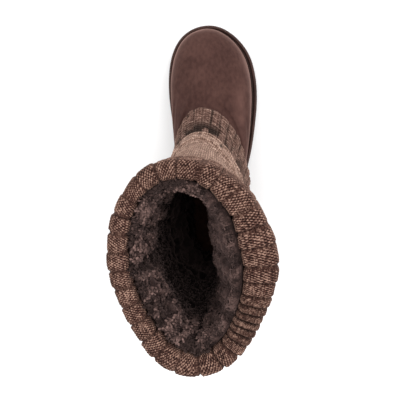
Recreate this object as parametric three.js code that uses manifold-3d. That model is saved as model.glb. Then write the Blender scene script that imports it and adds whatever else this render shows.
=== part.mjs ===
// Mukluk boot for the right foot: suede foot on a rubber cup sole, knitted shaft
// with an ankle band and a folded collar cuff, and a deep fleece lining.
// Millimetres, +Z up. The origin is on the floor under the middle of the heel,
// the toe points along -Y and the inner side of the foot is +X.
import * as THREE from "three";
import * as BufferGeometryUtils from "three/addons/utils/BufferGeometryUtils.js";
import Module from "manifold-3d";

// Sole
const SOLE_LENGTH = 280;
const BALL_WIDTH = 103;
const WAIST_WIDTH = 75;
const HEEL_WIDTH = 76;
const HEEL_SEAT = 38; // from the back of the sole to the middle of the heel
const TOE_SWING = 5; // how far the toe's tip lies to the inner side
const HEEL_FLOOR = 24.5; // height of the sole's floor under the heel
const BALL_FLOOR = 16.5;
const TOE_SPRING = 9;
const ARCH_RISE = 4;
const HEEL_BEVEL = 1.5; // rise of the tread at the very back
const LIP_HEIGHT = 4;
const LIP_WIDTH = 3.6;
const SIDE_SETBACK = 1.2; // the side wall stands this far in from the lip
const SIDE_GROOVE_DROP = 4; // from the floor down to the groove along the side
const SIDE_GROOVE_WIDTH = 2;
const SIDE_GROOVE_DEPTH = 1.4;
const TREAD_ROUNDING = 4.5;
const LUG_PITCH = 13;
const LUG_GROOVE_WIDTH = 4.6;
const LUG_GROOVE_DEPTH = 3.2;
const LUG_MARGIN = 9; // solid edge left beside the cross grooves
const LUG_CHEVRON = 4; // how far a groove's middle runs ahead of its ends
const BALL_SEAT = 192.5; // from the back of the sole to the lug under the ball

// Foot
const CLEARANCE = 0.3; // between pieces that meet
const WELT_WIDTH = 2.2;
const WELT_DROP = 1.2; // the welt's top lies this far under the lip's
const SUEDE_WALL = 2;
const INSOLE_THICKNESS = 6;
const INSOLE_BEVEL = 1.2;
const INSTEP_AT = 187; // from the back of the sole to the foot of the instep
const INSTEP_HEIGHT = 79;
const ANKLE_HEIGHT = 112; // top edge of the suede
const ANKLE_FRONT = 112; // from the origin to the front of the ankle
const ANKLE_BACK = 31;
const ANKLE_INNER = 38; // half widths of the ankle
const ANKLE_OUTER = 40.5;
const ANKLE_SWING = 7; // how far the ankle's front lies to the inner side
const FOOT_SWELL = 1.6; // how far the suede bulges beyond its feather edge

// Shaft
const BOOT_HEIGHT = 300;
const COLLAR_FRONT = 98.5;
const COLLAR_BACK = 52;
const COLLAR_INNER = 49;
const COLLAR_OUTER = 49;
const COLLAR_SWING_FRONT = 3;
const COLLAR_SWING_BACK = -11;
const KNIT_WALL = 4;
const HEM_REACH = 8.6; // how far the shaft's hem stands out over the band
const HEM_RISE = 5; // height of the hem's roll above the suede's edge
const HEM_ROLL = 2.5; // how far the roll stands out from the knit there
const BAND_WALL = 4.8;
const BAND_RIBS = 38;
const BAND_RIB_RELIEF = 1.3;
const BAND_EASE = 0.45; // between the band and the suede at the middle of a facet
const BAND_SPREAD = 0.14; // moves ribs from the front and back to the long sides

// Cuff and lining
const CUFF_ROLL = 28; // widest part of the fold, seen from above
const CUFF_DEPTH = 60;
const CUFF_LEG = 17; // how far the cuff's inner leg runs down to the shaft
const CUFF_FOLD = 8.4; // thickness of the knit at the top of the fold
const CUFF_WALL = 4.6;
const CUFF_RIBS = 32;
const CROWD_AT = 235; // degrees round to the outer back, where the ribs crowd
const CROWD_WIDTH = 20; // degrees to each side
const CROWD_DENSITY = 1.6; // how many more ribs there are in the same length
const CUFF_RIB_RELIEF = 1.8;
const PILE_DEPTH = 8;
const CURL_RELIEF = 2.2;
const LINING_DROP = 5; // the fleece ends this far under the collar's top
const LINING_ROUNDING = 2; // at the fleece's top edge
const LINING_SAG = 20; // how far the loose fleece hangs in from the leg's wall
const LINING_ROLL = 12; // how far its thick roll stands in at the back of the collar
const LINING_EASE = 0.6; // between the fleece's backing and the walls around it

const AROUND = 48; // sides of every ring of the foot and the shaft

// Half widths of the sole as shares of the named width, for a round of the sole's
// own length: at 0 is the back of the heel and at 1 the tip of the toe.
const SOLE_OUTLINE = [
  { at: 0.0, width: HEEL_WIDTH, inner: 0.868, outer: 0.868 },
  { at: 0.1, width: HEEL_WIDTH, inner: 0.77, outer: 0.77 },
  { at: 0.2, width: HEEL_WIDTH, inner: 0.625, outer: 0.638 },
  { at: 0.3, width: HEEL_WIDTH, inner: 0.53, outer: 0.559 },
  { at: 0.4, width: WAIST_WIDTH, inner: 0.466, outer: 0.567 },
  { at: 0.5, width: BALL_WIDTH, inner: 0.378, outer: 0.462 },
  { at: 0.6, width: BALL_WIDTH, inner: 0.443, outer: 0.512 },
  { at: 0.7, width: BALL_WIDTH, inner: 0.511, outer: 0.571 },
  { at: 0.8, width: BALL_WIDTH, inner: 0.585, outer: 0.632 },
  { at: 0.9, width: BALL_WIDTH, inner: 0.676, outer: 0.69 },
  { at: 1.0, width: BALL_WIDTH, inner: 0.79, outer: 0.69 },
];

// The floor of the sole: drop is the share of the way from the heel's height to
// the ball's, spring the share of the toe spring.
const SOLE_FLOOR = [
  { at: 0.0, drop: 0.0, spring: 0.0 },
  { at: 0.2, drop: 0.0, spring: 0.0 },
  { at: 0.4, drop: 0.38, spring: 0.0 },
  { at: 0.6, drop: 0.93, spring: 0.0 },
  { at: 0.75, drop: 1.0, spring: 0.02 },
  { at: 0.9, drop: 1.0, spring: 0.2 },
  { at: 1.0, drop: 1.0, spring: 0.55 },
];

// Side of the sole from the tread up to the floor inside the lip. inset is
// measured in from the outline; from is the level that rise is added to.
const SOLE_SIDE = [
  { from: "tread", rise: 0, inset: TREAD_ROUNDING },
  { from: "tread", rise: TREAD_ROUNDING * 0.53, inset: TREAD_ROUNDING * 0.42 },
  { from: "floor", rise: -SIDE_GROOVE_DROP - SIDE_GROOVE_WIDTH * 1.3, inset: SIDE_SETBACK },
  { from: "floor", rise: -SIDE_GROOVE_DROP - SIDE_GROOVE_WIDTH, inset: SIDE_SETBACK + SIDE_GROOVE_DEPTH },
  { from: "floor", rise: -SIDE_GROOVE_DROP, inset: SIDE_SETBACK + SIDE_GROOVE_DEPTH },
  { from: "floor", rise: -SIDE_GROOVE_DROP * 0.85, inset: SIDE_SETBACK * 0.6 },
  { from: "lip", rise: -LIP_HEIGHT * 0.9, inset: 0 },
  { from: "lip", rise: -LIP_HEIGHT * 0.25, inset: LIP_WIDTH * 0.14 },
  { from: "lip", rise: 0, inset: LIP_WIDTH * 0.5 },
  { from: "lip", rise: -LIP_HEIGHT * 0.2, inset: LIP_WIDTH * 0.92 },
  { from: "floor", rise: 0, inset: LIP_WIDTH },
];

// Rings of the suede foot, from the feather edge up to the ankle. Each ring is a
// tilted loop from the toe or instep round to the heel.
// reach: front point, 0 at the toe's edge, 1 at the instep, 2 at the ankle
// rise:  front height, 0 at the toe's floor, 1 at the instep, 2 at the ankle
// heel:  back height, 0 at the heel's floor, 1 at the ankle
// dip:   how far its sides hang, as a share of the ankle's height
// plan:  how far the ring follows the sole's outline
// floor: how far it follows the sole's floor
// swell: bulge beyond the feather edge
const FOOT_RINGS = [
  { reach: 0, rise: 0, heel: 0, dip: 0, plan: 1, floor: 1, swell: 0 },
  { reach: 0, rise: 0.07, heel: 0.045, dip: 0, plan: 1, floor: 1, swell: 0 },
  { reach: 0, rise: 0.22, heel: 0.1, dip: 0, plan: 0.97, floor: 0.9, swell: 0.5 },
  { reach: 0.01, rise: 0.42, heel: 0.17, dip: 0.01, plan: 0.85, floor: 0.7, swell: 0.8 },
  { reach: 0.075, rise: 0.63, heel: 0.24, dip: 0.03, plan: 0.65, floor: 0.5, swell: 0.8 },
  { reach: 0.25, rise: 0.8, heel: 0.31, dip: 0.06, plan: 0.4, floor: 0.3, swell: 0.8 },
  { reach: 0.51, rise: 0.905, heel: 0.38, dip: 0.09, plan: 0.2, floor: 0.2, swell: 0.6 },
  { reach: 0.8, rise: 0.965, heel: 0.45, dip: 0.11, plan: 0.1, floor: 0.1, swell: 0.3 },
  { reach: 1, rise: 1, heel: 0.52, dip: 0.125, plan: 0, floor: 0, swell: 0.2 },
  { reach: 1.72, rise: 1.42, heel: 0.75, dip: 0.05, plan: 0, floor: 0, swell: 0 },
  { reach: 2, rise: 2, heel: 1, dip: 0, plan: 0, floor: 0, swell: 0 },
];

// How wide each of those rings is, in the same order. inner and outer are half
// widths of the oval as shares of half the ball's width, ankle how far the
// ankle's own widths have taken over, and egg the fullness of the front half.
const FOOT_WIDTHS = [
  { inner: 0.84, outer: 0.92, ankle: 0, egg: 0.2 },
  { inner: 0.84, outer: 0.92, ankle: 0, egg: 0.2 },
  { inner: 0.82, outer: 0.93, ankle: 0, egg: 0.2 },
  { inner: 0.79, outer: 0.93, ankle: 0, egg: 0.2 },
  { inner: 0.76, outer: 0.9, ankle: 0, egg: 0.2 },
  { inner: 0.73, outer: 0.85, ankle: 0, egg: 0.18 },
  { inner: 0.7, outer: 0.83, ankle: 0, egg: 0.12 },
  { inner: 0.68, outer: 0.84, ankle: 0.1, egg: 0.06 },
  { inner: 0.68, outer: 0.86, ankle: 0.2, egg: 0.02 },
  { inner: 0.7, outer: 0.86, ankle: 0.8, egg: -0.1 },
  { inner: 0.7, outer: 0.86, ankle: 1, egg: -0.15 },
];
const FOOT_ROWS = FOOT_RINGS.map((row, index) => ({ ...row, ...FOOT_WIDTHS[index] }));

// Rings of the shaft above the ankle. up is the share of the height from the
// ankle to the collar; the rest are shares of the change from ankle to collar.
const SHAFT_RINGS = [
  { up: 0.122, front: 0.08, back: 0.0, inner: 0.35, outer: 0.3, swing: 0.0, egg: 0.1 },
  { up: 0.255, front: 0.25, back: 0.1, inner: 0.72, outer: 0.55, swing: 0.15, egg: 0.3 },
  { up: 0.468, front: 0.65, back: 0.36, inner: 0.92, outer: 0.7, swing: 0.4, egg: 0.6 },
  { up: 0.7, front: 0.93, back: 0.69, inner: 0.97, outer: 0.9, swing: 0.75, egg: 0.85 },
  { up: 0.91, front: 1.0, back: 0.94, inner: 1, outer: 1, swing: 0.95, egg: 1 },
  { up: 1.0, front: 1.0, back: 1.0, inner: 1, outer: 1, swing: 1, egg: 1 },
];
const ANKLE_EGG = FOOT_WIDTHS.at(-1).egg;
const COLLAR_EGG = 0.08;
const ANKLE_RING = FOOT_RINGS.length - 1;
const COLLAR_RING = ANKLE_RING + SHAFT_RINGS.length;

// Width of the cuff's fold around the collar, as shares of its widest part.
const CUFF_FLARE = [
  { degrees: 0, width: 0.54 },
  { degrees: 30, width: 0.52 },
  { degrees: 60, width: 0.55 },
  { degrees: 90, width: 0.66 },
  { degrees: 120, width: 0.57 },
  { degrees: 150, width: 0.67 },
  { degrees: 180, width: 0.725 },
  { degrees: 210, width: 0.68 },
  { degrees: 240, width: 0.72 },
  { degrees: 270, width: 0.98 },
  { degrees: 300, width: 0.87 },
  { degrees: 330, width: 0.68 },
];

// How far the fleece hangs in by its sag and its roll: the shares around the leg,
// where 0 is the front and 90 the inner side, and on the way down from the
// collar (0) to the ankle (1).
const FLEECE_AROUND = [
  { degrees: 0, sag: 0.05, roll: 0 },
  { degrees: 30, sag: 0.4, roll: 0 },
  { degrees: 60, sag: 0.5, roll: 0 },
  { degrees: 90, sag: 0.25, roll: 0.15 },
  { degrees: 120, sag: 0, roll: 1 },
  { degrees: 150, sag: 0, roll: 0.9 },
  { degrees: 180, sag: 0, roll: 0.35 },
  { degrees: 210, sag: 0.1, roll: 0.1 },
  { degrees: 240, sag: 0.55, roll: 0 },
  { degrees: 270, sag: 1, roll: 0 },
  { degrees: 300, sag: 0.85, roll: 0 },
  { degrees: 330, sag: 0.25, roll: 0 },
];
const FLEECE_DOWN = [
  { at: 0, sag: 0, roll: 0.5 },
  { at: 0.06, sag: 0.38, roll: 1 },
  { at: 0.14, sag: 0.68, roll: 1 },
  { at: 0.26, sag: 0.92, roll: 0.6 },
  { at: 0.42, sag: 1, roll: 0.1 },
  { at: 0.6, sag: 0.72, roll: 0 },
  { at: 0.8, sag: 0.2, roll: 0 },
  { at: 1, sag: 0, roll: 0 },
];

// Section of the cuff, an upside-down U, from the foot of its inner leg over the
// fold and down the outer leg, and back up inside. down is a share of the cuff's
// depth, out a share of the fold's width and wall the thicknesses of knit added.
// The grooves between the ribs are cut in by rib, or down into the top by sink.
const CUFF_SECTION = [
  { down: 0.03, out: 0.06, wall: 0, rib: 0.5, sink: 0 },
  { down: 0.0, out: 0.42, wall: 0, rib: 0, sink: 1 },
  { down: 0.03, out: 0.82, wall: 0, rib: 0, sink: 1 },
  { down: 0.14, out: 0.99, wall: 0, rib: 1, sink: 0 },
  { down: 0.5, out: 0.95, wall: 0, rib: 1, sink: 0 },
  { down: 0.94, out: 0.82, wall: 0, rib: 1, sink: 0 },
  { down: 1.0, out: 0.8, wall: -0.6, rib: 0.4, sink: 0 },
  { down: 0.95, out: 0.8, wall: -1, rib: 0, sink: 0 },
  { down: 0.15, out: 0.93, wall: -1.2, rib: 0, sink: 0 },
];

// Small helpers for levels and tables
const lerp = (a, b, t) => a + (b - a) * t;
const clamp = (value, low, high) => Math.min(high, Math.max(low, value));

// Smooth curve through the rows of a table, for one column.
function through(rows, position, column) {
  const last = rows.length - 1;
  const index = clamp(Math.floor(position), 0, last - 1);
  const t = position - index;
  const b = rows[index][column];
  const c = rows[index + 1][column];
  const a = index > 0 ? rows[index - 1][column] : 2 * b - c;
  const d = index + 2 <= last ? rows[index + 2][column] : 2 * c - b;
  return b + 0.5 * t * (c - a + t * (2 * a - 5 * b + 4 * c - d + t * (3 * (b - c) + d - a)));
}

// Position of a share of the length in a table whose rows say where they are.
function positionAt(rows, at) {
  let index = 0;
  while (index < rows.length - 2 && rows[index + 1].at < at) index += 1;
  return index + (at - rows[index].at) / (rows[index + 1].at - rows[index].at);
}

// Distance from the back of the sole to a point of the frame, and back.
const alongOf = (y) => HEEL_SEAT - y;
const placeOf = (along) => HEEL_SEAT - along;

const SOLE_ROUND = SOLE_OUTLINE.map((row) => ({
  at: row.at,
  inner: row.inner * row.width,
  outer: row.outer * row.width,
}));

// Sole outline at an angle from the toe's tip round by the inner side. The point
// is moved in along the outline's normal by inset.
function outlinePoint(turn) {
  const at = (1 + Math.cos(turn)) / 2;
  const side = Math.sin(turn);
  const half = through(SOLE_ROUND, positionAt(SOLE_ROUND, at), side >= 0 ? "inner" : "outer");
  return new THREE.Vector2(TOE_SWING * at + half * side, placeOf(SOLE_LENGTH * at));
}

function solePoint(turn, inset) {
  const step = 0.02;
  const ahead = outlinePoint(turn + step);
  const behind = outlinePoint(turn - step);
  const run = ahead.sub(behind).normalize();
  return outlinePoint(turn).add(new THREE.Vector2(-run.y, run.x).multiplyScalar(inset));
}

// Heights of the sole's floor, lip and tread above a point of the frame.
function floorHeight(y) {
  const position = positionAt(SOLE_FLOOR, clamp(alongOf(y) / SOLE_LENGTH, 0, 1));
  const drop = through(SOLE_FLOOR, position, "drop");
  const spring = through(SOLE_FLOOR, position, "spring");
  return lerp(HEEL_FLOOR, BALL_FLOOR, drop) + TOE_SPRING * spring;
}

const HEEL_FLAT = { from: 0.03, to: 0.27 }; // shares of the sole's length
const BALL_FLAT = { from: 0.57, to: 0.8 };

function treadHeight(y) {
  const at = clamp(alongOf(y) / SOLE_LENGTH, 0, 1);
  if (at < HEEL_FLAT.from) return HEEL_BEVEL * ((HEEL_FLAT.from - at) / HEEL_FLAT.from) ** 2;
  if (at > BALL_FLAT.to) return TOE_SPRING * ((at - BALL_FLAT.to) / (1 - BALL_FLAT.to)) ** 2;
  if (at < HEEL_FLAT.to || at > BALL_FLAT.from) return 0;
  const t = (at - HEEL_FLAT.to) / (BALL_FLAT.from - HEEL_FLAT.to);
  return ARCH_RISE * Math.sin(Math.PI * t) ** 2;
}

// Closed mesh from rings of points. closing says how the ends are shut: "caps"
// fills the first and last ring, "loop" joins the last ring back to the first.
// Each four-sided face is split along its shorter diagonal, so that two walls
// that lie on each other are split alike.
function ringGeometry(rings, closing) {
  const count = rings[0].length;
  const points = rings.flat();
  const positions = points.flatMap((point) => [point.x, point.y, point.z]);
  const indices = [];
  const quad = (a, b, c, d) => {
    const first = points[a].distanceTo(points[c]);
    const second = points[b].distanceTo(points[d]);
    if (first <= second) indices.push(a, b, c, a, c, d);
    else indices.push(a, b, d, b, c, d);
  };
  const bands = closing === "loop" ? rings.length : rings.length - 1;
  for (let ring = 0; ring < bands; ring += 1) {
    const low = ring * count;
    const high = ((ring + 1) % rings.length) * count;
    for (let i = 0; i < count; i += 1) {
      const j = (i + 1) % count;
      quad(low + i, low + j, high + j, high + i);
    }
  }
  if (closing === "caps") {
    const top = (rings.length - 1) * count;
    for (let i = 0; i < count / 2; i += 1) {
      const far = (count - i) % count;
      const near = count - i - 1;
      if (i > 0) indices.push(i, far, near, top + i, top + near, top + far);
      if (i + 1 < count / 2) indices.push(i, near, i + 1, top + i, top + i + 1, top + near);
    }
  }
  const geometry = new THREE.BufferGeometry();
  geometry.setAttribute("position", new THREE.Float32BufferAttribute(positions, 3));
  geometry.setIndex(indices);
  return geometry;
}

const turnOf = (index, count) => (2 * Math.PI * index) / count;
const ringOf = (count, pointAt) =>
  Array.from({ length: count }, (unused, index) => pointAt(turnOf(index, count), index));

// Ring on the sole's plan at an inset, with its height from a function of y.
function planRing(inset, heightAt) {
  return ringOf(AROUND, (turn) => {
    const flat = solePoint(turn, inset);
    return new THREE.Vector3(flat.x, flat.y, heightAt(flat.y));
  });
}

// Joining and cutting of closed meshes
const wasm = await Module();
wasm.setup();

function toSolid(geometry) {
  const bare = geometry.clone();
  bare.deleteAttribute("normal");
  bare.deleteAttribute("uv");
  const merged = BufferGeometryUtils.mergeVertices(bare, 1e-4);
  return new wasm.Manifold(
    new wasm.Mesh({
      numProp: 3,
      vertProperties: new Float32Array(merged.attributes.position.array),
      triVerts: new Uint32Array(merged.index.array),
    }),
  );
}

function toGeometry(solid) {
  const mesh = solid.getMesh();
  const geometry = new THREE.BufferGeometry();
  geometry.setAttribute("position", new THREE.BufferAttribute(mesh.vertProperties, 3));
  geometry.setIndex(new THREE.BufferAttribute(mesh.triVerts, 1));
  return geometry;
}

// Outsole: cup with a raised lip, a groove along its side, and cross grooves
// between the lugs of the heel and the ball.
const SEAT_INSET = LIP_WIDTH + CLEARANCE + WELT_WIDTH + CLEARANCE;

function lugGroove(along) {
  const y = placeOf(along);
  const at = along / SOLE_LENGTH;
  const turn = Math.acos(clamp(2 * at - 1, -1, 1));
  const inner = solePoint(turn, LUG_MARGIN).x;
  const outer = solePoint(-turn, LUG_MARGIN).x;
  const middle = (inner + outer) / 2;
  const half = LUG_GROOVE_WIDTH / 2;
  const plan = new THREE.Shape([
    new THREE.Vector2(outer, y - half),
    new THREE.Vector2(middle, y - half - LUG_CHEVRON),
    new THREE.Vector2(inner, y - half),
    new THREE.Vector2(inner, y + half),
    new THREE.Vector2(middle, y + half - LUG_CHEVRON),
    new THREE.Vector2(outer, y + half),
  ]);
  const depth = 2 * LUG_GROOVE_DEPTH;
  const geometry = new THREE.ExtrudeGeometry(plan, { depth, bevelEnabled: false });
  geometry.translate(0, 0, treadHeight(y) - LUG_GROOVE_DEPTH);
  return geometry;
}

// The grooves fill the flat of the heel and of the ball. A whole lug is left at
// each seat, where the boot rests.
function lugGroovePlaces(flat, seat, overrun) {
  const from = flat.from * SOLE_LENGTH + LUG_GROOVE_WIDTH;
  const to = flat.to * SOLE_LENGTH + overrun;
  const beside = seat - LUG_CHEVRON - LUG_PITCH / 2;
  const first = beside - Math.floor((beside - from) / LUG_PITCH) * LUG_PITCH;
  const count = Math.floor((to - first) / LUG_PITCH) + 1;
  return Array.from({ length: count }, (unused, index) => first + index * LUG_PITCH);
}

function outsoleGeometry() {
  const levels = {
    tread: treadHeight,
    floor: floorHeight,
    lip: (y) => floorHeight(y) + LIP_HEIGHT,
  };
  const rings = SOLE_SIDE.map((row) => planRing(row.inset, (y) => levels[row.from](y) + row.rise));
  let body = toSolid(ringGeometry(rings, "caps"));
  const heelPlaces = lugGroovePlaces(HEEL_FLAT, HEEL_SEAT, 0);
  const ballPlaces = lugGroovePlaces(BALL_FLAT, BALL_SEAT, LUG_PITCH);
  for (const along of [...heelPlaces, ...ballPlaces]) {
    body = body.subtract(toSolid(lugGroove(along)));
  }
  return toGeometry(body);
}

// Welt: a strip standing between the lip and the suede.
function weltGeometry() {
  const outer = LIP_WIDTH + CLEARANCE;
  const inner = outer + WELT_WIDTH;
  const low = (y) => floorHeight(y) + CLEARANCE;
  const high = (y) => floorHeight(y) + LIP_HEIGHT - WELT_DROP;
  return ringGeometry(
    [planRing(inner, low), planRing(outer, low), planRing(outer, high), planRing(inner, high)],
    "loop",
  );
}

// Insole: a pad on the floor, inside the suede.
function insoleGeometry() {
  const inset = SEAT_INSET + SUEDE_WALL + CLEARANCE;
  const low = (y) => floorHeight(y) + CLEARANCE;
  const top = (y) => low(y) + INSOLE_THICKNESS;
  const shoulder = (y) => top(y) - INSOLE_BEVEL;
  return ringGeometry(
    [planRing(inset, low), planRing(inset, shoulder), planRing(inset + INSOLE_BEVEL, top)],
    "caps",
  );
}

// Leg surface: the outer face of the suede, and above the ankle the middle of
// the knitted shaft. Every wall of the boot is offset from it.
function byStages(stage, first, second, third) {
  return stage <= 1 ? lerp(first, second, stage) : lerp(second, third, stage - 1);
}

function footPoint(ring, turn) {
  const cell = (column) => through(FOOT_ROWS, ring, column);
  const side = Math.sin(turn);
  const up = cell("heel");
  const inset = SEAT_INSET - FOOT_SWELL * cell("swell");
  const plan = solePoint(turn, inset);
  const planForward = (alongOf(plan.y) - inset) / (SOLE_LENGTH - 2 * inset);
  const forward = lerp((1 + Math.cos(turn)) / 2, planForward, cell("plan"));
  const toeAlong = SOLE_LENGTH - SEAT_INSET + FOOT_SWELL * cell("swell");
  const front = byStages(cell("reach"), toeAlong, INSTEP_AT, HEEL_SEAT + ANKLE_FRONT);
  const back = lerp(SEAT_INSET, HEEL_SEAT - ANKLE_BACK, up) - FOOT_SWELL * cell("swell");
  const y = placeOf(lerp(back, front, forward));
  const toeFloor = floorHeight(placeOf(SOLE_LENGTH)) + CLEARANCE;
  const heelFloor = HEEL_FLOOR + CLEARANCE;
  const frontUp = byStages(cell("rise"), toeFloor, INSTEP_HEIGHT, ANKLE_HEIGHT);
  const backUp = lerp(heelFloor, ANKLE_HEIGHT, up);
  const sag = floorHeight(y) + CLEARANCE - lerp(heelFloor, toeFloor, forward);
  const z = lerp(backUp, frontUp, forward) + cell("floor") * sag - cell("dip") * ANKLE_HEIGHT * side * side;
  const ankleHalf = side >= 0 ? ANKLE_INNER : ANKLE_OUTER;
  const footHalf = (cell(side >= 0 ? "inner" : "outer") * BALL_WIDTH) / 2;
  const half = lerp(footHalf, ankleHalf, cell("ankle"));
  const fullness = 1 + cell("egg") * Math.cos(turn);
  const middle = lerp(0, lerp(TOE_SWING, ANKLE_SWING, cell("ankle")), forward);
  const oval = middle + half * fullness * side;
  return new THREE.Vector3(lerp(oval, plan.x, cell("plan")), y, z);
}

const ANKLE_AS_SHAFT = { up: 0, front: 0, back: 0, inner: 0, outer: 0, swing: 0, egg: 0 };
const SHAFT_ROWS = [ANKLE_AS_SHAFT, ...SHAFT_RINGS];

function shaftPoint(ring, turn) {
  const cell = (column) => through(SHAFT_ROWS, ring - ANKLE_RING, column);
  const forward = (1 + Math.cos(turn)) / 2;
  const side = Math.sin(turn);
  const front = lerp(ANKLE_FRONT, COLLAR_FRONT, cell("front"));
  const back = lerp(ANKLE_BACK, COLLAR_BACK, cell("back"));
  const half =
    side >= 0
      ? lerp(ANKLE_INNER, COLLAR_INNER, cell("inner"))
      : lerp(ANKLE_OUTER, COLLAR_OUTER, cell("outer"));
  const middleFront = lerp(ANKLE_SWING, COLLAR_SWING_FRONT, cell("swing"));
  const middleBack = lerp(0, COLLAR_SWING_BACK, cell("swing"));
  const fullness = 1 + lerp(ANKLE_EGG, COLLAR_EGG, cell("egg")) * Math.cos(turn);
  return new THREE.Vector3(
    lerp(middleBack, middleFront, forward) + half * fullness * side,
    lerp(back, -front, forward),
    lerp(ANKLE_HEIGHT, BOOT_HEIGHT, cell("up")),
  );
}

function legPoint(ring, turn) {
  return ring <= ANKLE_RING ? footPoint(ring, turn) : shaftPoint(ring, turn);
}

function legNormal(ring, turn) {
  const step = 0.04;
  const low = Math.max(ring - step, 0);
  const high = Math.min(ring + step, COLLAR_RING);
  const upward = legPoint(high, turn).sub(legPoint(low, turn));
  const around = legPoint(ring, turn + step).sub(legPoint(ring, turn - step));
  return around.cross(upward).normalize();
}

// The leg surface as facets: rings at half steps, joined straight. Walls that
// lie on each other are offset from these, so their facets run side by side.
const SKIN_STEP = 0.5;
const skinRows = Array.from({ length: COLLAR_RING / SKIN_STEP + 1 }, (unused, row) =>
  ringOf(AROUND, (turn) => ({
    point: legPoint(row * SKIN_STEP, turn),
    normal: legNormal(row * SKIN_STEP, turn),
  })),
);

function mixSkin(a, b, t) {
  return { point: a.point.clone().lerp(b.point, t), normal: a.normal.clone().lerp(b.normal, t) };
}

function skinAt(ring, turn) {
  const row = clamp(Math.floor(ring / SKIN_STEP), 0, skinRows.length - 2);
  const column = (turn / (2 * Math.PI)) * AROUND;
  const index = Math.floor(column + 1e-9);
  const onRow = (cells) => mixSkin(cells[index % AROUND], cells[(index + 1) % AROUND], column - index);
  return mixSkin(onRow(skinRows[row]), onRow(skinRows[row + 1]), ring / SKIN_STEP - row);
}

function skinPoint(ring, turn, out) {
  const spot = skinAt(ring, turn);
  return spot.point.addScaledVector(spot.normal, out);
}

// Ring of the shaft that lies at a height above the ankle.
function ringAtHeight(height) {
  let low = ANKLE_RING;
  let high = COLLAR_RING;
  for (let step = 0; step < 40; step += 1) {
    const middle = (low + high) / 2;
    if (skinAt(middle, 0).point.z < height) low = middle;
    else high = middle;
  }
  return low;
}

// Point beside the shaft at a height, moved out level.
function shaftSide(height, turn, out) {
  const spot = skinAt(ringAtHeight(height), turn);
  const level = new THREE.Vector3(spot.normal.x, spot.normal.y, 0).normalize();
  spot.point.addScaledVector(level, out);
  spot.point.z = height;
  return spot.point;
}

// Upper: the suede foot, one wall open at the ankle and underneath. Under the
// ankle, where the band lies on it, its rings are the closer ones of the skin.
const ANKLE_ROWS = [4, 3, 2, 1].map((step) => ANKLE_RING - step * SKIN_STEP);
const UPPER_ROWS = [0, 1, 2, 3, 4, 5, 6, 7, ...ANKLE_ROWS, ANKLE_RING];
const UPPER_INNER_ROWS = [0, 1, 2, 4, 6, ...ANKLE_ROWS, ANKLE_RING];

function upperGeometry() {
  const outside = UPPER_ROWS.map((row) => ringOf(AROUND, (turn) => skinPoint(row, turn, 0)));
  const inside = UPPER_INNER_ROWS.map((row) =>
    ringOf(AROUND, (turn, index) => {
      const point = skinPoint(row, turn, -SUEDE_WALL);
      if (row === 0) point.z = floorHeight(point.y) + CLEARANCE;
      if (row === ANKLE_RING) point.z = outside.at(-1)[index].z;
      return point;
    }),
  );
  return ringGeometry([...outside, ...inside.reverse()], "loop");
}

// Ankle band: ribbed wall lying on the suede, its top tucked under the hem.
const BAND_LOW_RING = ANKLE_ROWS[0];
const BAND_TOP_RING = ANKLE_RING - 0.16;
const BAND_OUTSIDE = [
  { ring: 0.0, out: 0.35, rib: 0.5 },
  { ring: 0.12, out: 0.85, rib: 1 },
  { ring: 0.75, out: 1, rib: 1 },
  { ring: 1.3, out: 0.9, rib: 1 },
];
const BAND_REACH = CLEARANCE + BAND_WALL + BAND_RIB_RELIEF / 2;

function bandGeometry() {
  const count = 2 * BAND_RIBS;
  const bandRing = (ring, outAt) =>
    ringOf(count, (turn, index) => skinPoint(ring, turn + BAND_SPREAD * Math.sin(2 * turn), outAt(index)));
  const outside = BAND_OUTSIDE.map((row) =>
    bandRing(BAND_LOW_RING + row.ring, (index) => {
      const groove = index % 2 === 0 ? 0 : row.rib * BAND_RIB_RELIEF;
      return BAND_REACH * row.out - groove;
    }),
  );
  const tucked = bandRing(BAND_TOP_RING, () => BAND_REACH * 0.6);
  const inside = [BAND_TOP_RING, ...ANKLE_ROWS.toReversed()].map((row) => bandRing(row, () => BAND_EASE));
  return ringGeometry([...outside, tucked, ...inside], "loop");
}

// Shaft: knitted wall standing on the suede's edge, with a hem rolled out over
// the band. Its top meets the cuff's inner leg.
const SHAFT_TOP = BOOT_HEIGHT - CUFF_LEG - CLEARANCE;
const SHAFT_LEVELS = [0.25, 0.5, 0.75].map((share) => lerp(ANKLE_HEIGHT, SHAFT_TOP, share));
const HEM_LOW_RING = ANKLE_RING - 0.72;

function shaftGeometry() {
  const half = KNIT_WALL / 2;
  const ledge = ANKLE_HEIGHT + CLEARANCE;
  const levelRing = (height, out) => ringOf(AROUND, (turn) => shaftSide(height, turn, out));
  const hemRing = (share, out) =>
    ringOf(AROUND, (turn) => skinPoint(lerp(HEM_LOW_RING, ANKLE_RING, share), turn, out));
  const hemInside = BAND_REACH + CLEARANCE;
  const outside = [
    levelRing(ledge, -half),
    levelRing(ledge, hemInside - 1),
    hemRing(0.45, hemInside + 0.3),
    hemRing(0.0, hemInside + 0.9),
    hemRing(0.25, HEM_REACH),
    hemRing(0.8, HEM_REACH),
    levelRing(ledge + HEM_RISE, half + HEM_ROLL),
    ...SHAFT_LEVELS.map((height) => levelRing(height, half)),
    levelRing(SHAFT_TOP, half),
  ];
  const inside = [SHAFT_TOP, ...SHAFT_LEVELS.toReversed()].map((height) => levelRing(height, -half));
  return ringGeometry([...outside, ...inside], "loop");
}

// Cuff: the collar folded outwards and down, knitted in wide flat ribs with a
// narrow groove between each two.
const POINTS_PER_RIB = 3;

// Value at an angle in a table whose rows go evenly round the leg.
function roundThrough(rows, turn, column) {
  const position = ((turn / (2 * Math.PI)) * rows.length + rows.length) % rows.length;
  return through([...rows.slice(-1), ...rows, ...rows.slice(0, 2)], position + 1, column);
}

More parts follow.
